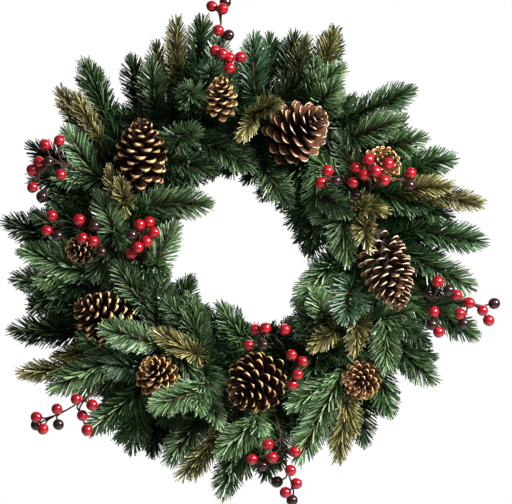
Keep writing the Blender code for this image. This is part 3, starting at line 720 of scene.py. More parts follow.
@dataclass(frozen=True)
class NeedleFinish:
    """PVC needle strip: colour from root to tip, lighter and bluer tips by the wire, a soft plastic gloss,
    with painted shade deep in the wreath and painted highlights on the needle ends.
    """

    name: str
    # root is partly the strip's own brown and partly painted shade inside the tips; the deepest value is how
    # dark the painted shade gets deep in the wreath
    root: Sequence[float]
    tip: Sequence[float]
    light: Sequence[float]
    blue: Sequence[float]
    dark: Sequence[float]
    olive: Sequence[float]
    # end and its share paint a highlight on the needle ends
    end: Sequence[float]
    painted_highlight_share: float
    deepest_painted_shade: float
    greying: float

    def build(self) -> bpy.types.Material:
        """Makes the material."""
        shade = Shade(self.name)
        along, each = shade.read("along"), shade.read("each")
        light, blue = shade.read("light"), shade.read("blue")
        other = (each * 7.31).sin() * 0.5 + 0.5
        # The tone's light and dark partly paint light and shade by where the tip sits on the wreath.
        colour = shade.mix(light.clamp() * 0.85, self.tip, self.light)
        colour = shade.mix(blue.clamp() * 0.7, colour, self.blue)
        colour = shade.mix((0 - light).clamp() * 0.7, colour, self.dark)
        colour = shade.mix(other.ease(0.6, 1.0) * 0.5, colour, self.olive)
        # Towards the base the needles take the root colour: partly the strip's own brown, partly painted
        # shade inside the tip.
        colour = shade.mix(along.ease(0.05, 0.6), self.root, colour)
        # Painted highlight: the needle ends lighten towards the end colour.
        colour = shade.mix(along.ease(0.6, 1.0) * self.painted_highlight_share, colour, self.end)
        # Painted shade by depth: needles nearer the ring plane are painted darker, and those at the very back
        # a little lighter again.
        depth = shade.out(shade.make("ShaderNodeSeparateXYZ", {}, {"Vector": shade.here()}), "Y")
        painted_depth_shade = depth.ease(-0.055, -0.012, 1.08, self.deepest_painted_shade) + depth.ease(-0.012, 0.0, 0.0, 0.6)
        tone_and_painted_shade = each.ease(0.0, 1.0, 0.4, 1.75) * painted_depth_shade
        # The tint makes painted shade a deeper green and the brightest needles greyer, as a painted sheen.
        greyer = tone_and_painted_shade ** self.greying
        tint = shade.make("ShaderNodeCombineXYZ", {}, {"X": greyer, "Y": tone_and_painted_shade, "Z": greyer})
        colour = shade.mix(1.0, colour, shade.out(tint), "MULTIPLY")
        return shade.finish(
            Base_Color=colour,
            Roughness=each.ease(0.0, 1.0, 0.45, 0.28),
            Specular_IOR_Level=0.6,
        )


@dataclass(frozen=True)
class StemFinish:
    """Twisted wire under brown strip, wound along its length."""

    name: str
    colour: Sequence[float]
    shadow: Sequence[float]
    turns_per_metre: float = 700.0

    def build(self) -> bpy.types.Material:
        """Makes the material."""
        shade = Shade(self.name)
        here = shade.here()
        grain = shade.noise(here, 900.0, 3.0, 0.6)
        twist = (shade.read("run") * self.turns_per_metre * math.tau).sin() * 0.5 + 0.5
        colour = shade.mix((grain * 0.6 + twist * 0.4).ease(0.25, 0.75), self.shadow, self.colour)
        return shade.finish(
            Base_Color=colour,
            Roughness=grain.ease(0.3, 0.7, 0.5, 0.75),
            Normal=shade.bump(twist + grain * 0.5, 0.0006, 0.6),
        )


@dataclass(frozen=True)
class ScaleFinish:
    """Pine cone scales: brown woody faces with grain, and gilded rims, with painted shade towards the core
    and painted light on the faces towards their rims.
    """

    name: str
    gilding: float
    paleness: float
    gilt: Gilt
    inner: Sequence[float] = (0.046, 0.013, 0.006)
    # pale is partly a cone's own paler wood and partly painted light near the rims; deep is painted shade
    # towards the core and also the dark of the grain
    pale: Sequence[float] = (0.40, 0.155, 0.062)
    deep: Sequence[float] = (0.010, 0.003, 0.002)

    def build(self) -> bpy.types.Material:
        """Makes the material."""
        shade = Shade(self.name)
        here = shade.here()
        out, each = shade.read("out"), shade.read("each")
        blotch = shade.noise(here, 260.0, 3.0, 0.6)
        grain = shade.noise(here, 1400.0, 2.0, 0.6)
        # Painted shade: the scales darken to the deep colour towards the core.
        colour = shade.mix(out.ease(0.15, 0.8), self.deep, self.inner)
        # Painted light: the faces lighten to the pale colour towards their rims, as far as the cone's
        # paleness reaches, broken up by blotches and from scale to scale.
        painted_light = out.ease(0.3, 1.0) * blotch.ease(0.3, 0.6, 0.4, 1.0) * each.ease(0.0, 1.0, 0.6, 1.0)
        painted_light = painted_light * self.paleness
        colour = shade.mix(painted_light, colour, self.pale)
        colour = shade.mix(grain.ease(0.5, 0.75) * 0.35, colour, self.deep)
        along_rim = shade.read("edge" if self.gilt is Gilt.CREAM else "rim")
        edge = along_rim + (blotch - 0.5) * 0.4 + (each - 0.5) * 0.2
        start = 1.0 - self.gilding
        rim = edge.ease(start, start + 0.16)
        colour = shade.mix(rim, colour, self.gilt.value)
        colour = shade.mix(rim * blotch.ease(0.5, 0.68) * 0.5, colour, self.inner)
        return shade.finish(
            Base_Color=colour,
            Roughness=rim.ease(0.0, 1.0, 0.7, 0.36),
            Specular_IOR_Level=0.3,
            Metallic=rim * 0.35,
            Normal=shade.bump(grain * 0.5 + blotch, 0.0008, 0.5),
        )


@dataclass(frozen=True)
class BerryFinish:
    """Lacquered berries: red, or dark maroon where they are marked dark."""

    name: str
    red: Sequence[float] = (0.46, 0.004, 0.014)
    deep: Sequence[float] = (0.20, 0.002, 0.008)
    dark: Sequence[float] = (0.026, 0.008, 0.008)

    def build(self) -> bpy.types.Material:
        """Makes the material."""
        shade = Shade(self.name)
        here = shade.here()
        mottle = shade.noise(here, 220.0, 3.0, 0.55)
        pole = shade.read("pole")
        colour = shade.mix(mottle.ease(0.35, 0.75), self.red, self.deep)
        colour = shade.mix(shade.read("dark"), colour, self.dark)
        colour = shade.mix(pole.ease(0.95, 0.99) * 0.7, colour, (0.03, 0.012, 0.008))
        return shade.finish(
            Base_Color=colour,
            Roughness=mottle.ease(0.3, 0.7, 0.16, 0.26),
            Coat_Weight=shade.read("dark") * -0.3 + 0.5,
            Coat_Roughness=0.16,
            Normal=shade.bump(shade.noise(here, 420.0, 2.0, 0.5), 0.0003, 0.15),
        )


@dataclass(frozen=True)
class LacquerFinish:
    """Green lacquered steel wire, a little uneven."""

    name: str
    colour: Sequence[float] = (0.012, 0.045, 0.018)
    worn: Sequence[float] = (0.035, 0.085, 0.045)

    def build(self) -> bpy.types.Material:
        """Makes the material."""
        shade = Shade(self.name)
        here = shade.here()
        wear = shade.noise(here, 160.0, 4.0, 0.6)
        return shade.finish(
            Base_Color=shade.mix(wear.ease(0.4, 0.7), self.colour, self.worn),
            Roughness=wear.ease(0.3, 0.7, 0.45, 0.62),
            Metallic=0.1,
            Coat_Weight=0.1,
            Coat_Roughness=0.3,
            Normal=shade.bump(wear, 0.0004, 0.3),
        )


class Line:
    """A smooth line through given points, read by its length."""

    def __init__(self, points: Sequence[Vector]) -> None:
        """Takes points in metres."""
        padded = [points[0] * 2 - points[1], *points, points[-1] * 2 - points[-2]]
        dense = []
        for p0, p1, p2, p3 in zip(padded, padded[1:], padded[2:], padded[3:]):
            for t in np.linspace(0, 1, 16, endpoint=False):
                bend = p0 * -1 + p1 * 3 - p2 * 3 + p3
                turn = p0 * 2 - p1 * 5 + p2 * 4 - p3
                dense.append(p1 + ((p2 - p0) * t + turn * t**2 + bend * t**3) * 0.5)
        dense.append(points[-1])
        self.dense = np.array([tuple(point) for point in dense])
        steps = np.linalg.norm(np.diff(self.dense, axis=0), axis=1)
        self.lengths = np.concatenate([[0.0], np.cumsum(steps)])
        self.length = float(self.lengths[-1])

    def at(self, length: float) -> Vector:
        """The point at a length from the start."""
        return Vector([float(np.interp(length, self.lengths, self.dense[:, axis])) for axis in range(3)])

    def tangent(self, length: float) -> Vector:
        """The direction at a length from the start."""
        near = max(length - 0.001, 0.0)
        return (self.at(near + 0.002) - self.at(near)).normalized()

    def nearest(self, point: Vector) -> float:
        """The length at which the line passes nearest to a point."""
        return float(self.lengths[np.linalg.norm(self.dense - np.array(tuple(point)), axis=1).argmin()])


def arm_line(seat: tuple[float, float], points: Sequence[Spot], short_by: float = 0.0) -> Line:
    """The line of one arm of a wire, from its seat on the ring out to its tip.

    Args:
        seat: x and z of the seat.
        points: the arm's root and the points after it, up to the tip.
        short_by: how far before the last point the line ends, in metres.

    Returns:
        The line.
    """
    start = place((*seat, SEAT_DEPTH))
    first = place(points[0])
    rise = start + (first - start).normalized() * FOLD_REACH * MM + Vector((0, -FOLD_RISE * MM, 0))
    rest = [place(point) for point in points[1:]]
    last = rest[-2] if len(rest) > 1 else first
    rest[-1] = rest[-1] + (last - rest[-1]).normalized() * short_by
    return Line([start, rise, first, *rest])


@dataclass
class Threads:
    """Lines to be dressed by a Geometry Nodes tree, with the numbers that each point carries."""

    points: list[Vector] = field(default_factory=list)
    edges: list[tuple[int, int]] = field(default_factory=list)
    numbers: dict[str, list[float]] = field(default_factory=dict)
    facings: list[Vector] = field(default_factory=list)

    def add(self, line: Line, facing: Vector, step: float, **numbers: float) -> None:
        """Adds a line.

        Args:
            line: the line.
            facing: the way that the flat of its brush faces.
            step: how far its points lie apart, in metres.
            numbers: values that are the same along the line. "bare" is the length with no needles.
        """
        count = max(3, round(line.length / step))
        bare = numbers.pop("bare", 0.0)
        for i in range(count + 1):
            length = line.length * i / count
            if i:
                self.edges.append((len(self.points) - 1, len(self.points)))
            self.points.append(line.at(length))
            self.facings.append(facing)
            run = {"to_tip": line.length - length, "run": length, "clothed": length - bare, **numbers}
            for name, value in run.items():
                self.numbers.setdefault(name, []).append(value)

    def mesh(self, name: str) -> bpy.types.Object:
        """Makes the object that carries the lines."""
        mesh = bpy.data.meshes.new(name)
        mesh.from_pydata(self.points, self.edges, [])
        for key, values in self.numbers.items():
            mesh.attributes.new(key, "FLOAT", "POINT").data.foreach_set("value", values)
        flat = np.array([tuple(way) for way in self.facings], np.float32).ravel()
        mesh.attributes.new("facing", "FLOAT_VECTOR", "POINT").data.foreach_set("vector", flat)
        thing = new_object(name, mesh)
        return thing


class Growth(Graph):
    """A Geometry Nodes tree with named inputs, which ends in Realize Instances and Set Material."""

    def __init__(self, name: str, inputs: dict[str, str]) -> None:
        """Starts a tree.

        Args:
            name: the tree's name.
            inputs: each input's name and its kind, such as Float.
        """
        tree = bpy.data.node_groups.new(name, "GeometryNodeTree")
        super().__init__(tree)
        tree.interface.new_socket("Geometry", in_out="INPUT", socket_type="NodeSocketGeometry")
        tree.interface.new_socket("Geometry", in_out="OUTPUT", socket_type="NodeSocketGeometry")
        for label, kind in inputs.items():
            tree.interface.new_socket(label, in_out="INPUT", socket_type=f"NodeSocket{kind}")
        self.group = self.make("NodeGroupInput")
        self.end = self.make("NodeGroupOutput")

    def given(self, name: str) -> Socket:
        """One of the tree's inputs."""
        return self.out(self.group, name)

    def stored(self, name: str, kind: str = "FLOAT") -> Socket:
        """A number or vector that the lines carry."""
        return self.out(self.make("GeometryNodeInputNamedAttribute", {"data_type": kind}, {"Name": name}))

    def store(self, geometry: Any, name: str, value: Any, domain: str = "INSTANCE") -> Socket:
        """Stores a number on a geometry.

        Args:
            geometry: the mesh or the instances.
            name: the number's name.
            value: the number.
            domain: what carries it, such as POINT.

        Returns:
            The geometry.
        """
        settings = {"data_type": "FLOAT", "domain": domain}
        sockets = {"Geometry": geometry, "Name": name, "Value": value}
        return self.out(self.make("GeometryNodeStoreNamedAttribute", settings, sockets))

    def chance(self, low: float, high: float, salt: int) -> Socket:
        """A random number for each element, from the tree's seed and a salt."""
        sockets = {"Min": low, "Max": high, "Seed": self.given("Seed") + salt}
        return self.out(self.make("FunctionNodeRandomValue", {"data_type": "FLOAT"}, sockets))

    def close(self, parts: Sequence[Any]) -> None:
        """Joins the parts and ends the tree."""
        join = self.make("GeometryNodeJoinGeometry")
        for part in reversed(parts):
            self.feed(join.inputs[0], part)
        self.feed(self.end.inputs[0], self.out(join))

    def made_of(self, geometry: Any, material: Any) -> Socket:
        """Turns instances into a mesh and gives it its material."""
        whole = self.out(self.make("GeometryNodeRealizeInstances", {}, {"Geometry": geometry}))
        return self.out(self.make("GeometryNodeSetMaterial", {}, {"Geometry": whole, "Material": material}))

    def tube(self, curve: Any, radius: Any, sides: int) -> Socket:
        """A tube along curves, with closed ends.

        Args:
            curve: the curves.
            radius: its radius.
            sides: how many sides it has.

        Returns:
            The tube.
        """
        circle = {"Resolution": sides, "Radius": 1.0}
        profile = self.make("GeometryNodeCurvePrimitiveCircle", {"mode": "RADIUS"}, circle)
        sockets = {"Curve": curve, "Profile Curve": self.out(profile), "Scale": radius, "Fill Caps": True}
        tube = self.out(self.make("GeometryNodeCurveToMesh", {}, sockets))
        return self.out(self.make("GeometryNodeSetShadeSmooth", {}, {"Geometry": tube, "Shade Smooth": True}))


def grow(thing: bpy.types.Object, growth: Growth, inputs: dict[str, Any]) -> None:
    """Dresses an object by a tree and leaves the result as its plain mesh.

    Args:
        thing: the object.
        growth: the tree.
        inputs: values of the tree's inputs by name.
    """
    modifier = thing.modifiers.new("growth", "NODES")
    modifier.node_group = growth.tree
    for item in growth.tree.interface.items_tree:
        if item.in_out == "INPUT" and item.name in inputs:
            modifier[item.identifier] = inputs[item.name]
    graph = bpy.context.evaluated_depsgraph_get()
    grown = thing.evaluated_get(graph)
    mesh = bpy.data.meshes.new_from_object(grown, preserve_all_data_layers=True, depsgraph=graph)
    thing.modifiers.remove(modifier)
    old = thing.data
    thing.data = mesh
    bpy.data.meshes.remove(old)
    drop_empty_slots(mesh)


def triangles(thing: bpy.types.Object) -> int:
    """How many triangles a piece has."""
    thing.data.calc_loop_triangles()
    return len(thing.data.loop_triangles)


def drop_empty_slots(mesh: bpy.types.Mesh) -> None:
    """Takes out a mesh's empty material slots and points its faces at the ones that stay."""
    kept = [material for material in mesh.materials if material]
    moved = {i: kept.index(material) for i, material in enumerate(mesh.materials) if material}
    indices = np.zeros(len(mesh.polygons), np.int32)
    mesh.polygons.foreach_get("material_index", indices)
    mesh.materials.clear()
    for material in kept:
        mesh.materials.append(material)
    indices = np.array([moved.get(i, 0) for i in indices.tolist()], np.int32)
    mesh.polygons.foreach_set("material_index", indices)


def hand_over(thing: bpy.types.Object, node: str) -> None:
    """Makes a finished piece stand for its CAD node and reports it.

    Args:
        thing: the piece.
        node: the node that it stands for.
    """
    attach(thing, "root")
    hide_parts(node)
    LOG.info("%s: %d triangles", thing.name, triangles(thing))


@dataclass
class Brush:
    """How a kind of tip is set with needles, in metres and radians."""

    length: float
    spacing: float
    width: float
    lean: float = math.radians(52)
    lean_at_tip: float = math.radians(24)
    flatness: float = 0.42
    bare: float = 0.012
    clump_spacing: float = 0.0042
    clump_pull: float = 0.13

    def tree(self) -> Growth:
        """Builds the tree that sets needles along lines and sheathes the lines as stems."""
        kinds = {
            "Needle Length": "Float",
            "Needle Spacing": "Float",
            "Needle Width": "Float",
            "Lean": "Float",
            "Lean At Tip": "Float",
            "Flatness": "Float",
            "Stem Radius": "Float",
            "Seed": "Int",
            "Keep Clear": "Object",
            "Needle Material": "Material",
            "Stem Material": "Material",
        }
        g = Growth("needle_brush", kinds)
        curve = g.out(g.make("GeometryNodeMeshToCurve", {}, {"Mesh": g.given("Geometry")}))
        sockets = {"Curve": curve, "Length": g.given("Needle Spacing")}
        fine = g.out(g.make("GeometryNodeResampleCurve", {"mode": "LENGTH"}, sockets))
        spots = g.make("GeometryNodeCurveToPoints", {"mode": "EVALUATED"}, {"Curve": fine})
        ahead = g.out(spots, "Tangent")
        bare = g.math("LESS_THAN", g.stored("clothed"), 0.0)
        sockets = {"Geometry": g.out(spots, "Points"), "Selection": bare}
        points = g.out(g.make("GeometryNodeDeleteGeometry", {"domain": "POINT"}, sockets))

        to_tip = g.stored("to_tip")
        side = g.vector("NORMALIZE", g.vector("CROSS_PRODUCT", ahead, g.stored("facing", "FLOAT_VECTOR")))
        front = g.vector("CROSS_PRODUCT", side, ahead)
        index = g.out(g.make("GeometryNodeInputIndex"))
        turn = index * GOLDEN_ANGLE + g.chance(-0.25, 0.25, 1)
        around = turn - (turn * 2.0).sin() * g.given("Flatness")
        fan = g.given("Lean At Tip") * g.chance(0.3, 1.7, 7)
        clump = g.stored("run") * (math.tau / self.clump_spacing) + around.sin() * 0.6
        clump = clump.sin() * self.clump_pull
        lean = to_tip.ease(0.0, 0.018, fan, g.given("Lean") + clump) + g.chance(-0.07, 0.07, 2)
        out = g.vector("ADD", g.vector("SCALE", side, around.cos()), g.vector("SCALE", front, around.sin()))
        heading = g.vector("ADD", g.vector("SCALE", ahead, lean.cos()), g.vector("SCALE", out, lean.sin()))

        shape = to_tip.ease(0.0, 0.03, 0.72, 1.0) * g.stored("clothed").ease(0.0, 0.03, 0.8, 1.0)
        length = g.given("Needle Length") * shape * g.chance(0.88, 1.04, 3) * g.stored("size")
        heading = self.before_wall(g, heading, length)
        settings = {"transform_space": "RELATIVE"}
        target = g.make("GeometryNodeObjectInfo", settings, {"Object": g.given("Keep Clear")})
        sockets = {
            "Target Geometry": g.out(target, "Geometry"),
            "Source Position": g.out(g.make("GeometryNodeInputPosition")),
            "Ray Direction": heading,
            "Ray Length": length,
        }
        ray = g.make("GeometryNodeRaycast", {}, sockets)
        met = g.out(ray, "Is Hit")
        sockets = {"Switch": met, "False": length, "True": g.out(ray, "Hit Distance") * 0.96}
        length = g.out(g.make("GeometryNodeSwitch", {"input_type": "FLOAT"}, sockets))

        cone = {"Vertices": 3, "Side Segments": 1, "Radius Top": 0.3, "Radius Bottom": 0.5, "Depth": 1.0}
        needle = g.out(g.make("GeometryNodeMeshCone", {"fill_type": "NONE"}, cone))
        where = g.out(g.make("GeometryNodeInputPosition"))
        height = g.out(g.make("ShaderNodeSeparateXYZ", {}, {"Vector": where}), "Z")
        needle = g.store(needle, "along", height, "POINT")
        swell = (height * 3.3).sin() * 0.35 + 1.0
        girth = g.make("ShaderNodeCombineXYZ", {}, {"X": swell, "Y": swell, "Z": 1.0})
        curl = g.make("ShaderNodeCombineXYZ", {}, {"X": height * height * 1.6, "Y": 0.0, "Z": 0.0})
        bent = g.vector("ADD", g.vector("MULTIPLY", where, g.out(girth)), g.out(curl))
        needle = g.out(g.make("GeometryNodeSetPosition", {}, {"Geometry": needle, "Position": bent}))

        axes = {"Primary Axis": heading, "Secondary Axis": ahead}
        turned = g.make("FunctionNodeAxesToRotation", {"primary_axis": "Z", "secondary_axis": "X"}, axes)
        width = g.given("Needle Width") * g.chance(0.8, 1.15, 5)
        size = g.make("ShaderNodeCombineXYZ", {}, {"X": width, "Y": width, "Z": length})
        sockets = {"Points": points, "Instance": needle, "Rotation": g.out(turned), "Scale": g.out(size)}
        needles = g.out(g.make("GeometryNodeInstanceOnPoints", {}, sockets))
        needles = g.store(needles, "each", g.chance(0.0, 1.0, 6))
        needles = g.made_of(needles, g.given("Needle Material"))

        sockets = {"Curve": curve, "Length": 0.004}
        coarse = g.out(g.make("GeometryNodeResampleCurve", {"mode": "LENGTH"}, sockets))
        taper = g.given("Stem Radius") * to_tip.ease(0.0, 0.03, 0.5, 1.0)
        stems = g.made_of(g.tube(coarse, taper, 6), g.given("Stem Material"))
        g.close([needles, stems])
        return g

    @staticmethod
    def before_wall(g: Growth, heading: Socket, length: Socket) -> Socket:
        """Turns a heading back to the front where its needle would run into the wall.

        Args:
            g: the tree.
            heading: the way that the needle points.
            length: its length.

        Returns:
            The heading, of unit length.
        """
        here = g.out(g.make("GeometryNodeInputPosition"))
        depth = g.out(g.make("ShaderNodeSeparateXYZ", {}, {"Vector": here}), "Y")
        parts = g.make("ShaderNodeSeparateXYZ", {}, {"Vector": heading})
        over = (g.out(parts, "Y") - (WALL_SIDE - depth) / length).clamp(0.0, 1.0)
        kept = g.out(parts, "Y") - over * 1.8
        sockets = {"X": g.out(parts, "X"), "Y": kept, "Z": g.out(parts, "Z")}
        turned = g.make("ShaderNodeCombineXYZ", {}, sockets)
        return g.vector("NORMALIZE", g.out(turned))


GREEN_BRUSH = Brush(length=0.0275, spacing=0.00030, width=0.0021)
GOLD_BRUSH = Brush(length=0.0235, spacing=0.00036, width=0.0020, lean=math.radians(46))


@dataclass
class Foliage:
    """The green and the gold tips of the wreath."""

    needle_green: bpy.types.Material
    needle_gold: bpy.types.Material
    stem: bpy.types.Material
    keep_clear: bpy.types.Object
    stem_radius: float = 0.0012
    shoot_share: float = 0.52
    shoot_angle: float = math.radians(34)
    shoot_drop: float = 0.012
    tip_half_width: float = 15.0
    needle_overrun: float = 0.012
    shoot_bare: float = 0.004
    shoot_size: float = 0.86
    point_step: float = 0.004
    front_bow: float = 4.0
    least_depth: float = 6.0
    fill_seed: int = 7
    fills: dict[str, list[tuple[Line, Tone, float]]] = field(default_factory=dict)

    def facing(self, line: Line, seed: int) -> Vector:
        """The way that the flat of a tip faces: to the front, turned a little to either side.

        Args:
            line: the tip's line.
            seed: a number of its own, which sets the turn.

        Returns:
            The way.
        """
        ahead = (line.at(line.length) - line.at(line.length * 0.4)).normalized()
        front = Vector((0, -1, 0))
        if abs(ahead.dot(front)) > 0.8:
            front = Vector((0, 0, 1))
        front = (front - ahead * front.dot(ahead)).normalized()
        roll = math.radians(22) * math.sin(seed * 2.4)
        return Matrix.Rotation(roll, 3, ahead) @ front

    def shoots(self, line: Line, facing: Vector, owner: tuple[str, int]) -> list[tuple[Line, Vector]]:
        """The side shoots of an arm, behind it and to both sides, but for the ones left out.

        Args:
            line: the arm's line.
            facing: the way that the flat of the arm faces.
            owner: the wire's name and the arm's number.

        Returns:
            Each shoot's line and the way that its flat faces.
        """
        shoots = []
        for k, side in enumerate((-1, 1)):
            if (*owner, side) in NO_SHOOT:
                continue
            at = line.length * (0.30 + 0.16 * k)
            start, ahead = line.at(at), line.tangent(at)
            turn = Matrix.Rotation(side * self.shoot_angle, 3, facing)
            way = turn @ ahead
            reach = (line.length - at) * self.shoot_share + 0.012
            drop = -facing * self.shoot_drop
            points = [start, start + way * reach * 0.5 + drop * 0.7, start + way * reach + drop]
            for point in points:
                point.y = min(point.y, -0.006)
            shoots.append((Line(points), facing))
        return shoots

    def fill(self) -> dict[str, list[tuple[Line, Tone, float]]]:
        """The fill tips of every row, sorted to the wires whose seats lie nearest to their roots."""
        chance = np.random.default_rng(self.fill_seed)
        wires = GREEN_WIRES + GOLD_WIRES
        sorted_out: dict[str, list[tuple[Line, Tone, float]]] = {wire.name: [] for wire in wires}
        for row in FILL_ROWS:
            for i in range(row.count):
                angle = row.first + 360 * (i + chance.uniform(-0.3, 0.3)) / row.count
                end = angle + row.swirl * chance.uniform(0.5, 1.5)
                root = self.polar(angle, row.root[0] + chance.uniform(-8, 8), row.root[1])
                far = row.tip[0] + chance.uniform(-8, 8)
                if far > row.root[0]:
                    far *= float(np.interp(end % 360, *zip(*REACH)))
                tip = self.polar(end, far, row.tip[1] + chance.uniform(-6, 6))
                tip = self.out_of_hole(tip)
                line = self.past_cones(root, tip)
                nearest = min(GREEN_WIRES, key=lambda wire: math.dist(wire.seat, root[:2]))
                tone = self.painted_light(row.tones[chance.integers(len(row.tones))], end)
                sorted_out[nearest.name].append((line, tone, row.size * chance.uniform(0.9, 1.1)))
        for name, root, tip, tone in FRONT_TIPS:
            middle = [(a + b) / 2 for a, b in zip(root, tip)]
            bowed = (*middle[:2], middle[2] + self.front_bow)
            sorted_out[name].append((Line([place(root), place(bowed), place(tip)]), tone, 1.0))
        return sorted_out

    @staticmethod
    def polar(degrees: float, radius: float, depth: float) -> Spot:
        """A spot of the layout by its angle and radius round the ring's centre."""
        return radius * math.cos(math.radians(degrees)), radius * math.sin(math.radians(degrees)), depth

    @staticmethod
    def painted_light(tone: Tone, degrees: float) -> Tone:
        """A fill tip's tone, with painted light and shade.

        Args:
            tone: the tone that its row gives it.
            degrees: where it ends, as an angle round the ring.

        Returns:
            A tone painted a step lighter on the sunny side of the wreath, and painted dark as shade on the
            shaded side.
        """
        steps = (DARK, PINE, MID)
        place_in_steps = steps.index(tone) if tone in steps else 1
        if SUNNY[0] <= (degrees + 180) % 360 - 180 <= SUNNY[1]:
            return steps[min(place_in_steps + 1, 2)]
        if SHADED[0] <= degrees % 360 <= SHADED[1]:
            return DARK
        return tone

    def out_of_hole(self, tip: Spot) -> Spot:
        """Keeps a tip out of the hole.

        Args:
            tip: the spot where it ends.

        Returns:
            The spot, moved out until the needles round it stay clear.
        """
        degrees = math.degrees(math.atan2(tip[1], tip[0])) % 360
        edge = float(np.interp(degrees, *zip(*HOLE_EDGE))) + self.tip_half_width
        far = max(1.0, edge / math.hypot(tip[0], tip[1]))
        return tip[0] * far, tip[1] * far, tip[2]

    def past_cones(self, root: Spot, tip: Spot) -> Line:
        """Lays the line of a fill tip.

        Args:
            root: where it starts.
            tip: where it ends.

        Returns:
            The line, laid lower where a cone stands in its way.
        """
        for drop in (1.0, 0.75, 0.5, 0.25):
            middle = [(a + b) / 2 for a, b in zip(root, tip)]
            spots = (root, (*middle[:2], middle[2] * 1.15), tip)
            line = Line([place((x, z, max(self.least_depth, depth * drop))) for x, z, depth in spots])
            if not any(self.hits(line, cone) for cone in CONES):
                break
        return line

    @staticmethod
    def hits(line: Line, cone: ConeSpot) -> bool:
        """Whether a line runs through a cone."""
        base, apex = place(cone.base), place(cone.apex)
        axis = apex - base
        for share in (0.0, 0.25, 0.5, 0.75, 1.0):
            point = line.at(line.length * share)
            along = min(1.0, max(0.0, (point - base).dot(axis) / axis.length_squared))
            if (point - base - axis * along).length < cone.radius * MM:
                return True
        return False

    def build(
        self, wire: Wire, growth: Growth, brush: Brush, material: bpy.types.Material, slot: str, seed: int
    ) -> None:
        """Builds one wire with its tips.

        Args:
            wire: the wire.
            growth: the tree that sets the needles.
            brush: the sizes of its needles.
            material: the needles' finish.
            slot: the material slot of its node; not used.
            seed: a number of its own, for the random draws.
        """
        threads = Threads()
        for k, (root, tip, tone) in enumerate(wire.arms):
            line = arm_line(wire.seat, (root, tip), self.needle_overrun)
            facing = self.facing(line, seed * 2 + k)
            light, blue = tone.value
            looks = {"light": light, "blue": blue}
            threads.add(line, facing, self.point_step, size=1.0, bare=brush.bare, **looks)
            if tone is not GOLD:
                for shoot, way in self.shoots(line, facing, (wire.name, k)):
                    numbers = {"size": self.shoot_size, "bare": self.shoot_bare, **looks}
                    threads.add(shoot, way, self.point_step, **numbers)
        for k, (line, tone, size) in enumerate(self.fills.get(wire.name, ())):
            light, blue = tone.value
            facing = self.facing(line, seed + 31 * k)
            threads.add(line, facing, self.point_step, size=size, light=light, blue=blue)
        thing = threads.mesh(wire.name.replace("branch", "tips"))
        inputs = {
            "Needle Length": brush.length,
            "Needle Spacing": brush.spacing,
            "Needle Width": brush.width,
            "Lean": brush.lean,
            "Lean At Tip": brush.lean_at_tip,
            "Flatness": brush.flatness,
            "Stem Radius": self.stem_radius,
            "Seed": seed,
            "Keep Clear": self.keep_clear,
            "Needle Material": material,
            "Stem Material": self.stem,
        }
        grow(thing, growth, inputs)
        hand_over(thing, wire.name)

    def build_all(self) -> None:
        """Builds every wire."""
        growth = GREEN_BRUSH.tree()
        self.fills = self.fill()
        for seed, wire in enumerate(GREEN_WIRES, 1):
            self.build(wire, growth, GREEN_BRUSH, self.needle_green, "needles_green", seed)
        for seed, wire in enumerate(GOLD_WIRES, 101):
            self.build(wire, growth, GOLD_BRUSH, self.needle_gold, "needles_gold", seed)


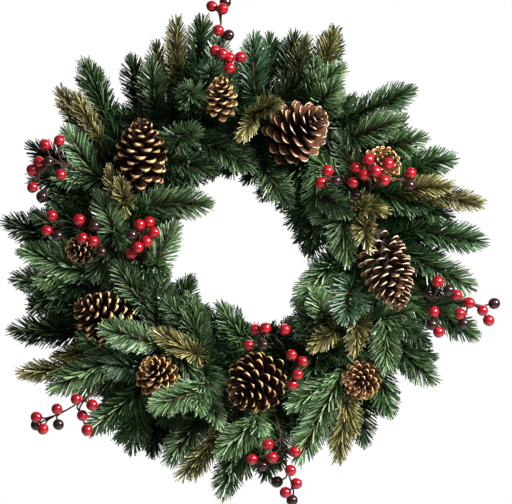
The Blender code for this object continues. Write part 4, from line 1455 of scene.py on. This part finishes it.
@dataclass
class PineCones:
    """The pine cones, with open scales set in spirals on a core."""

    stem: bpy.types.Material
    core_end: float = 0.74
    core_radius: float = 0.3
    tilt_at_base: float = math.radians(100)
    tilt_at_apex: float = math.radians(30)

    def scale_form(self) -> bpy.types.Object:
        """One scale of unit length and width: a spoon that thickens to its rounded rim."""
        bm = bmesh.new()
        spans = (
            (0.0, 0.30, 0.05),
            (0.50, 0.62, 0.05),
            (0.80, 0.95, 0.09),
            (0.95, 1.0, 0.15),
            (1.0, 0.88, 0.15),
        )
        across = (-1.0, -0.55, 0.0, 0.55, 1.0)
        out_of = bm.verts.layers.float.new("out")
        rim_of = bm.verts.layers.float.new("rim")
        edge_of = bm.verts.layers.float.new("edge")
        rows = []
        for top in (1, -1):
            for out, width, thick in spans:
                row = []
                for a in across:
                    x = a * width * 0.5
                    bulge = 1.0 - 0.22 * a * a * out
                    hull = thick * (1 - 0.85 * a * a)
                    z = 0.12 * out * out + 0.05 * (a * width) ** 2 - (0.0 if top > 0 else hull + 0.01)
                    vertex = bm.verts.new((x, out * bulge, z))
                    vertex[out_of] = out
                    end = max(0.0, (out - 0.80) / 0.20)
                    vertex[rim_of] = end * (1 - 0.4 * a * a)
                    vertex[edge_of] = max(end, out if abs(a) > 0.9 else 0.0)
                    row.append(vertex)
                rows.append(row)
        count = len(spans)
        for half, (sign, start) in enumerate(((1, 0), (-1, count))):
            for r in range(start, start + count - 1):
                for c in range(4):
                    quad = (rows[r][c], rows[r][c + 1], rows[r + 1][c + 1], rows[r + 1][c])
                    bm.faces.new(quad if sign > 0 else tuple(reversed(quad)))
        for r in range(count - 1):
            for c in (0, 4):
                bm.faces.new((rows[r][c], rows[r + 1][c], rows[r + count + 1][c], rows[r + count][c]))
        for c in range(4):
            bm.faces.new((rows[0][c], rows[0][c + 1], rows[count][c + 1], rows[count][c]))
            tip, under = rows[count - 1], rows[-1]
            bm.faces.new((tip[c], tip[c + 1], under[c + 1], under[c]))
        bmesh.ops.recalc_face_normals(bm, faces=bm.faces)
        for face in bm.faces:
            face.smooth = True
        mesh = bpy.data.meshes.new("scale_form")
        bm.to_mesh(mesh)
        bm.free()
        form = new_object("scale_form", mesh)
        return form

    def tree(self) -> Growth:
        """Builds the tree that sets scales in spirals round a core along +Z."""
        kinds = {
            "Scales": "Int",
            "Scale Thickness": "Float",
            "Length": "Float",
            "Radius": "Float",
            "Core End": "Float",
            "Core Radius": "Float",
            "Scale Width": "Float",
            "Tilt At Base": "Float",
            "Tilt At Apex": "Float",
            "Seed": "Int",
            "Scale Form": "Object",
            "Scale Material": "Material",
        }
        g = Growth("cone_scales", kinds)
        length, radius = g.given("Length"), g.given("Radius")
        count = g.given("Scales")
        index = g.out(g.make("GeometryNodeInputIndex"))
        points = g.out(g.make("GeometryNodePoints", {}, {"Count": count}))
        share = index / (count - 1.0)
        turn = index * GOLDEN_ANGLE + g.chance(-0.1, 0.1, 1)
        rim = radius * ((share * 0.655 + 0.30) * math.pi).sin() ** 0.8 * g.chance(0.92, 1.03, 2)
        height = length * (share ** 0.88 * 0.86 + 0.11)
        tilt = share.ease(-0.1, 1.05, g.given("Tilt At Base"), g.given("Tilt At Apex"))
        tilt = tilt + g.chance(-0.1, 0.1, 3)
        core = radius * g.given("Core Radius") * (1.0 - share * share * 0.7)
        reach = (rim - core) / tilt.sin().clamp(0.45, 1.0)
        drop = (reach * tilt.cos()).clamp(-0.004, 0.03)
        low = (height - drop).clamp(0.001, 1.0)

        def ring(out: Any, up: Any) -> Socket:
            """The point at a scale's turn, this far out and up."""
            parts = {"X": turn.cos() * out, "Y": turn.sin() * out, "Z": up}
            return g.out(g.make("ShaderNodeCombineXYZ", {}, parts))

        inner, outer = ring(core * 0.8, low), ring(rim, height)
        points = g.out(g.make("GeometryNodeSetPosition", {}, {"Geometry": points, "Position": inner}))
        way = g.vector("SUBTRACT", outer, inner)
        axes = {"Primary Axis": way, "Secondary Axis": (0.0, 0.0, 1.0)}
        turned = g.make("FunctionNodeAxesToRotation", {"primary_axis": "Y", "secondary_axis": "Z"}, axes)
        wide = g.given("Scale Width") * (rim / radius) ** 0.55 * g.chance(0.92, 1.06, 4)
        long = g.vector("LENGTH", way)
        thick = (wide * 0.62 + long * 0.38) * g.given("Scale Thickness")
        size = g.make("ShaderNodeCombineXYZ", {}, {"X": wide, "Y": long, "Z": thick})
        form = g.out(g.make("GeometryNodeObjectInfo", {}, {"Object": g.given("Scale Form")}), "Geometry")
        sockets = {"Points": points, "Instance": form, "Rotation": g.out(turned), "Scale": g.out(size)}
        scales = g.out(g.make("GeometryNodeInstanceOnPoints", {}, sockets))
        scales = g.store(scales, "each", g.chance(0.0, 1.0, 5))

        body = {
            "Vertices": 12,
            "Side Segments": 4,
            "Radius Bottom": radius * g.given("Core Radius"),
            "Radius Top": radius * g.given("Core Radius") * 0.2,
            "Depth": length * g.given("Core End"),
        }
        core_mesh = g.out(g.make("GeometryNodeMeshCone", {"fill_type": "NGON"}, body))
        # The core takes the darkest scale colour: painted shade deep inside the cone.
        for name, value in (("out", 0.05), ("rim", 0.0), ("edge", 0.0), ("each", 0.5)):
            core_mesh = g.store(core_mesh, name, value, "POINT")
        g.close([g.made_of(part, g.given("Scale Material")) for part in (scales, core_mesh)])
        return g

    def build_all(self) -> None:
        """Builds every cone with its wire."""
        form = self.scale_form()
        growth = self.tree()
        for seed, spot in enumerate(CONES, 1):
            mesh = bpy.data.meshes.new(spot.name)
            thing = new_object(spot.name.replace("cone", "pine_cone"), mesh)
            base, apex = place(spot.base), place(spot.apex)
            inputs = {
                "Scales": spot.scales,
                "Length": (apex - base).length,
                "Radius": spot.radius * MM,
                "Core End": self.core_end,
                "Core Radius": self.core_radius,
                "Scale Width": spot.width * MM,
                "Scale Thickness": spot.thickness,
                "Tilt At Base": self.tilt_at_base,
                "Tilt At Apex": self.tilt_at_apex,
                "Seed": seed,
                "Scale Form": form,
                "Scale Material": self.finish(spot),
            }
            grow(thing, growth, inputs)
            turn = Vector((0, 0, 1)).rotation_difference(apex - base).to_matrix().to_4x4()
            thing.data.transform(Matrix.Translation(base) @ turn)
            self.add_wire(thing, spot, base, (apex - base).normalized())
            hand_over(thing, spot.name)
        bpy.data.objects.remove(form)

    @staticmethod
    def finish(spot: ConeSpot) -> bpy.types.Material:
        """The finish of one cone's scales."""
        return ScaleFinish(f"{spot.name}_scales", spot.gilding, spot.paleness, spot.gilt).build()

    def add_wire(self, thing: bpy.types.Object, spot: ConeSpot, base: Vector, axis: Vector) -> None:
        """Joins the wire that holds a cone on the ring.

        Args:
            thing: the cone's piece.
            spot: its place in the table.
            base: where its base is.
            axis: the way that it points.
        """
        foot = base - axis * 0.009
        foot.y = min(foot.y, -0.009)
        start = place((*spot.seat, SEAT_DEPTH))
        rise = start + (foot - start).normalized() * FOLD_REACH * MM + Vector((0, -FOLD_RISE * MM, 0))
        line = Line([start, rise, foot, base + axis * 0.004])
        bm = bmesh.new()
        bm.from_mesh(thing.data)
        sweep(bm, line, 0.0012, 6, len(thing.data.materials))
        bm.to_mesh(thing.data)
        bm.free()
        thing.data.materials.append(self.stem)


def sweep(
    bm: bmesh.types.BMesh, line: Line, radius: float, sides: int, material: int, end: float = 1.0
) -> None:
    """Adds a closed round tube along a line.

    Args:
        bm: the mesh to add to.
        line: the line.
        radius: the tube's radius in metres.
        sides: how many sides it has.
        material: the index of its material.
        end: the radius at the end, as a share of the radius at the start.
    """
    run = bm.verts.layers.float.get("run") or bm.verts.layers.float.new("run")
    count = max(4, round(line.length / 0.003))
    rings = []
    side = line.tangent(0).orthogonal().normalized()
    for i in range(count + 1):
        length = line.length * i / count
        ahead = line.tangent(length)
        side = (side - ahead * side.dot(ahead)).normalized()
        up = ahead.cross(side)
        girth = radius * (1 + (end - 1) * i / count)
        ring = []
        for k in range(sides):
            turn = math.tau * k / sides
            vertex = bm.verts.new(line.at(length) + (side * math.cos(turn) + up * math.sin(turn)) * girth)
            vertex[run] = length
            ring.append(vertex)
        rings.append(ring)
    faces = [bm.faces.new(tuple(reversed(rings[0]))), bm.faces.new(tuple(rings[-1]))]
    for near, far in zip(rings, rings[1:]):
        for k in range(sides):
            faces.append(bm.faces.new((near[k - 1], near[k], far[k], far[k - 1])))
    for face in faces:
        face.material_index = material
        face.smooth = True


@dataclass
class Berries:
    """The berry sprays: round berries on thin bound wires."""

    berry: bpy.types.Material
    twig: bpy.types.Material
    radius: float = 0.0071
    stem_radius: float = 0.0016
    twig_radius: float = 0.0011
    sink: float = 0.0008

    def tree(self) -> Growth:
        """Builds the tree that sets a berry on each point, turned along its twig."""
        kinds = {"Berry Radius": "Float", "Seed": "Int", "Berry Material": "Material"}
        g = Growth("berries", kinds)
        radius = g.given("Berry Radius")
        ball = g.out(g.make("GeometryNodeMeshIcoSphere", {}, {"Radius": 1.0, "Subdivisions": 3}))
        where = g.out(g.make("GeometryNodeInputPosition"))
        up = g.out(g.make("ShaderNodeSeparateXYZ", {}, {"Vector": where}), "Z")
        ball = g.store(ball, "pole", up, "POINT")
        ball = g.out(g.make("GeometryNodeSetShadeSmooth", {}, {"Geometry": ball, "Shade Smooth": True}))
        way = g.stored("facing", "FLOAT_VECTOR")
        axes = {"Primary Axis": way, "Secondary Axis": (0.0, 0.0, 1.0)}
        turned = g.make("FunctionNodeAxesToRotation", {"primary_axis": "Z", "secondary_axis": "X"}, axes)
        wide = radius * g.chance(0.93, 1.0, 1)
        size = g.make("ShaderNodeCombineXYZ", {}, {"X": wide, "Y": wide, "Z": wide * g.chance(1.0, 1.08, 2)})
        sockets = {
            "Points": g.given("Geometry"),
            "Instance": ball,
            "Rotation": g.out(turned),
            "Scale": g.out(size),
        }
        balls = g.out(g.make("GeometryNodeInstanceOnPoints", {}, sockets))
        g.close([g.made_of(balls, g.given("Berry Material"))])
        return g

    def build_all(self) -> None:
        """Builds every spray."""
        growth = self.tree()
        for seed, spray in enumerate(SPRAYS, 1):
            self.build(spray, growth, seed)

    def build(self, spray: Spray, growth: Growth, seed: int) -> None:
        """Builds one spray.

        Args:
            spray: the spray.
            growth: the tree that sets the berries.
            seed: a number of its own, for the random draws.
        """
        lines = [arm_line(spray.seat, arm) for arm in spray.arms]
        spots = [(place(spot), 0.0) for spot in spray.red] + [(place(spot), 1.0) for spot in spray.dark]
        mesh = bpy.data.meshes.new(spray.name)
        mesh.from_pydata([spot for spot, _ in spots], [], [])
        marks = [dark for _, dark in spots]
        mesh.attributes.new("dark", "FLOAT", "POINT").data.foreach_set("value", marks)
        twigs = [self.twig_line(lines, spot) for spot, _ in spots]
        ways = np.array([tuple(twig.tangent(twig.length)) for twig in twigs], np.float32).ravel()
        mesh.attributes.new("facing", "FLOAT_VECTOR", "POINT").data.foreach_set("vector", ways)
        thing = new_object(spray.name.replace("berries", "berry_spray"), mesh)
        grow(thing, growth, {"Berry Radius": self.radius, "Seed": seed, "Berry Material": self.berry})
        bm = bmesh.new()
        bm.from_mesh(thing.data)
        slot = len(thing.data.materials)
        for line in lines:
            sweep(bm, line, self.stem_radius, 7, slot, 0.6)
        for twig in twigs:
            sweep(bm, twig, self.twig_radius, 5, slot)
        bm.to_mesh(thing.data)
        bm.free()
        thing.data.materials.append(self.twig)
        hand_over(thing, spray.name)

    def twig_line(self, lines: Sequence[Line], spot: Vector) -> Line:
        """The short twig out to a berry.

        Args:
            lines: the stems, of which it leaves the nearest.
            spot: the berry's middle.

        Returns:
            The twig's line.
        """
        line = min(lines, key=lambda one: (one.at(one.nearest(spot)) - spot).length)
        near = line.nearest(spot)
        away = (line.at(near) - spot).length
        root = max(near - away * 0.7, line.length * 0.25)
        start, ahead = line.at(root), line.tangent(root)
        reach = (spot - start).length
        bend = start + ahead * reach * 0.35 + (spot - start) * 0.2
        way = (spot - bend).normalized()
        return Line([start, bend, spot - way * (self.radius - self.sink)])


@dataclass
class RingFrame:
    """The wire ring: two round hoops joined by flat ties."""

    lacquer: bpy.types.Material
    radii: tuple[float, float] = (0.150, 0.180)
    wire_radius: float = 0.002
    tie_count: int = 5
    tie_width: float = 0.010
    tie_front: float = 0.0004
    tie_back: float = 0.0025
    tie_overrun: float = 0.0012

    def tree(self) -> Growth:
        """Builds the tree of hoops and ties, in the plane of the ring."""
        kinds = {
            "Inner Radius": "Float",
            "Outer Radius": "Float",
            "Wire Radius": "Float",
            "Ties": "Int",
            "Tie Size": "Vector",
            "Tie Middle": "Vector",
            "Ring Material": "Material",
        }
        g = Growth("ring_wires", kinds)
        parts = []
        for label in ("Inner Radius", "Outer Radius"):
            sockets = {"Resolution": 120, "Radius": g.given(label)}
            hoop = g.out(g.make("GeometryNodeCurvePrimitiveCircle", {"mode": "RADIUS"}, sockets))
            parts.append(g.made_of(g.tube(hoop, g.given("Wire Radius"), 12), g.given("Ring Material")))
        tie = g.out(g.make("GeometryNodeMeshCube", {}, {"Size": g.given("Tie Size")}))
        sockets = {"Geometry": tie, "Translation": g.given("Tie Middle")}
        tie = g.out(g.make("GeometryNodeTransform", {}, sockets))
        points = g.out(g.make("GeometryNodePoints", {}, {"Count": g.given("Ties")}))
        index = g.out(g.make("GeometryNodeInputIndex"))
        turn = index / g.given("Ties") * math.tau - math.pi / 2
        angles = g.out(g.make("ShaderNodeCombineXYZ", {}, {"X": 0.0, "Y": 0.0, "Z": turn}))
        turned = g.out(g.make("FunctionNodeEulerToRotation", {}, {"Euler": angles}))
        sockets = {"Points": points, "Instance": tie, "Rotation": turned}
        ties = g.out(g.make("GeometryNodeInstanceOnPoints", {}, sockets))
        parts.append(g.made_of(ties, g.given("Ring Material")))
        g.close(parts)
        return g

    def build(self) -> None:
        """Builds the ring, and stands it up with its back to +Y."""
        thing = new_object("wire_ring", bpy.data.meshes.new("wire_ring"))
        inner, outer = self.radii
        span = outer - inner + 2 * self.tie_overrun
        inputs = {
            "Inner Radius": inner,
            "Outer Radius": outer,
            "Wire Radius": self.wire_radius,
            "Ties": self.tie_count,
            "Tie Size": (span, self.tie_width, self.tie_back - self.tie_front),
            "Tie Middle": ((inner + outer) / 2, 0.0, -(self.tie_front + self.tie_back) / 2),
            "Ring Material": self.lacquer,
        }
        grow(thing, self.tree(), inputs)
        stand = Matrix.Translation((0, 0, RING_CENTRE_Z)) @ Matrix.Rotation(math.pi / 2, 4, "X")
        thing.data.transform(stand)
        bevel = thing.modifiers.new("bevel", "BEVEL")
        bevel.width = 0.0003
        bevel.segments = 2
        bevel.limit_method = "ANGLE"
        graph = bpy.context.evaluated_depsgraph_get()
        mesh = bpy.data.meshes.new_from_object(thing.evaluated_get(graph), depsgraph=graph)
        thing.modifiers.remove(bevel)
        thing.data = mesh
        hand_over(thing, "ring_frame")


def keep_clear_form() -> bpy.types.Object:
    """The room that cones and berries take, which no needle runs into."""
    bm = bmesh.new()
    for spot in CONES:
        base, apex = place(spot.base), place(spot.apex)
        turn = Vector((0, 0, 1)).rotation_difference(apex - base).to_matrix().to_4x4()
        long = (apex - base).length
        last = None
        stand = Matrix.Translation(base) @ turn
        for share in (0.0, 0.2, 0.4, 0.6, 0.8, 1.0):
            rim = math.sin(math.pi * (0.3 + 0.62 * share)) ** 0.8 * spot.radius * MM * 0.92
            ring = []
            for k in range(12):
                angle = math.tau * k / 12
                point = Vector((math.cos(angle) * rim, math.sin(angle) * rim, long * (0.1 + 0.86 * share)))
                ring.append(bm.verts.new(stand @ point))
            if last:
                for k in range(12):
                    bm.faces.new((last[k - 1], last[k], ring[k], ring[k - 1]))
            else:
                bm.faces.new(tuple(reversed(ring)))
            last = ring
        bm.faces.new(tuple(last))
    for spray in SPRAYS:
        for spot in (*spray.red, *spray.dark):
            at = Matrix.Translation(place(spot))
            bmesh.ops.create_icosphere(bm, subdivisions=2, radius=BERRY_ROOM, matrix=at)
    mesh = bpy.data.meshes.new("keep_clear")
    bm.to_mesh(mesh)
    bm.free()
    form = new_object("keep_clear", mesh)
    return form


@dataclass
class Studio:
    """The floor, the lights, the white surround and the camera."""

    distance: float = 3.2
    aim: Vector = field(default_factory=lambda: Vector((0.0108, -0.055, -0.1564)))
    width_in_view: float = 0.6144
    floor_drop: float = 1.4
    floor_size: float = 4.0

    def camera(self) -> None:
        """Sets the camera level in front, as far off as a long lens."""
        data = bpy.data.cameras.new("camera")
        data.sensor_width = 36.0
        data.lens = 36.0 * self.distance / self.width_in_view
        data.clip_end = 50.0
        camera = new_object("camera", data)
        camera.location = self.aim + Vector((0, -self.distance, 0))
        camera.rotation_euler = (math.pi / 2, 0, 0)
        bpy.context.scene.camera = camera

    def floor(self) -> None:
        """Lays a pale floor well below the hung wreath."""
        bm = bmesh.new()
        bmesh.ops.create_grid(bm, x_segments=1, y_segments=1, size=self.floor_size / 2)
        bmesh.ops.translate(bm, verts=bm.verts, vec=(0, 0, RING_CENTRE_Z - self.floor_drop))
        mesh = bpy.data.meshes.new("floor")
        bm.to_mesh(mesh)
        bm.free()
        floor = new_object("floor", mesh)
        shade = Shade("floor")
        pale = shade.mix(shade.noise(shade.here(), 3.0), (0.80, 0.80, 0.80), (0.86, 0.86, 0.86))
        mesh.materials.append(shade.finish(Base_Color=pale, Roughness=0.7))

    def light(
        self, name: str, way: Sequence[float], power: float, size: float, colour: Sequence[float]
    ) -> None:
        """Adds an area light.

        Args:
            name: its name.
            way: where it stands from the wreath's middle, in metres.
            power: in watts.
            size: its side in metres.
            colour: its colour.
        """
        data = bpy.data.lights.new(name, "AREA")
        data.energy = power
        data.size = size
        data.color = colour
        lamp = new_object(name, data)
        lamp.location = self.aim + Vector(way)
        lamp.rotation_euler = (-Vector(way)).to_track_quat("-Z", "Y").to_euler()

    def build(self) -> None:
        """Builds the studio."""
        self.camera()
        self.floor()
        self.light("key", (1.75, -1.15, 0.95), 130.0, 0.5, (1.0, 0.99, 0.96))
        self.light("fill", (0.95, -2.3, 1.4), 18.0, 1.2, (0.96, 0.98, 1.0))
        self.light("back", (0.2, 2.4, 1.4), 26.0, 2.4, (1.0, 1.0, 1.0))
        world = bpy.data.worlds.new("studio")
        world.use_nodes = True
        graph = Graph(world.node_tree)
        world.node_tree.nodes.clear()
        seen = graph.out(graph.make("ShaderNodeLightPath"), "Is Camera Ray")
        strength = seen * 0.88 + 0.12
        back = graph.make("ShaderNodeBackground", {}, {"Color": (1.0, 1.0, 1.0), "Strength": strength})
        output = graph.make("ShaderNodeOutputWorld")
        world.node_tree.links.new(back.outputs[0], output.inputs[0])
        bpy.context.scene.world = world
        bpy.context.scene.view_settings.view_transform = "Standard"


def main() -> None:
    """Builds the looks in order: ring, cones, berries, foliage, studio."""
    logging.basicConfig(level=logging.INFO, format="%(name)s %(message)s")
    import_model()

    stem = StemFinish("branch_stem", (0.16, 0.085, 0.035), (0.05, 0.028, 0.014)).build()
    twig = StemFinish("berry_twig", (0.070, 0.018, 0.014), (0.024, 0.007, 0.006)).build()
    RingFrame(LacquerFinish("ring_lacquer").build()).build()
    PineCones(stem).build_all()
    Berries(BerryFinish("berry_lacquer").build(), twig).build_all()

    # In both needle finishes the end colours are painted highlights on the needle ends, the deepest value is
    # the painted shade deep in the wreath, and the root colour is partly painted shade.
    green = NeedleFinish(
        "needle_green",
        root=(0.034, 0.026, 0.011),
        tip=(0.064, 0.150, 0.053),
        light=(0.146, 0.300, 0.120),
        blue=(0.062, 0.175, 0.098),
        dark=(0.016, 0.036, 0.012),
        olive=(0.150, 0.165, 0.048),
        end=(0.230, 0.290, 0.180),
        painted_highlight_share=0.3,
        deepest_painted_shade=0.2,
        greying=1.45,
    ).build()
    gold = NeedleFinish(
        "needle_gold",
        root=(0.040, 0.036, 0.012),
        tip=(0.165, 0.155, 0.044),
        light=(0.340, 0.310, 0.100),
        blue=(0.100, 0.120, 0.050),
        dark=(0.080, 0.070, 0.022),
        olive=(0.100, 0.120, 0.032),
        end=(0.410, 0.385, 0.175),
        painted_highlight_share=0.6,
        deepest_painted_shade=0.4,
        greying=1.15,
    ).build()
    keep_clear = keep_clear_form()
    Foliage(green, gold, stem, keep_clear).build_all()
    bpy.data.objects.remove(keep_clear)
    for tree in [group for group in bpy.data.node_groups if group.users == 0]:
        bpy.data.node_groups.remove(tree)
    Studio().build()


if __name__ == "__main__":
    main()
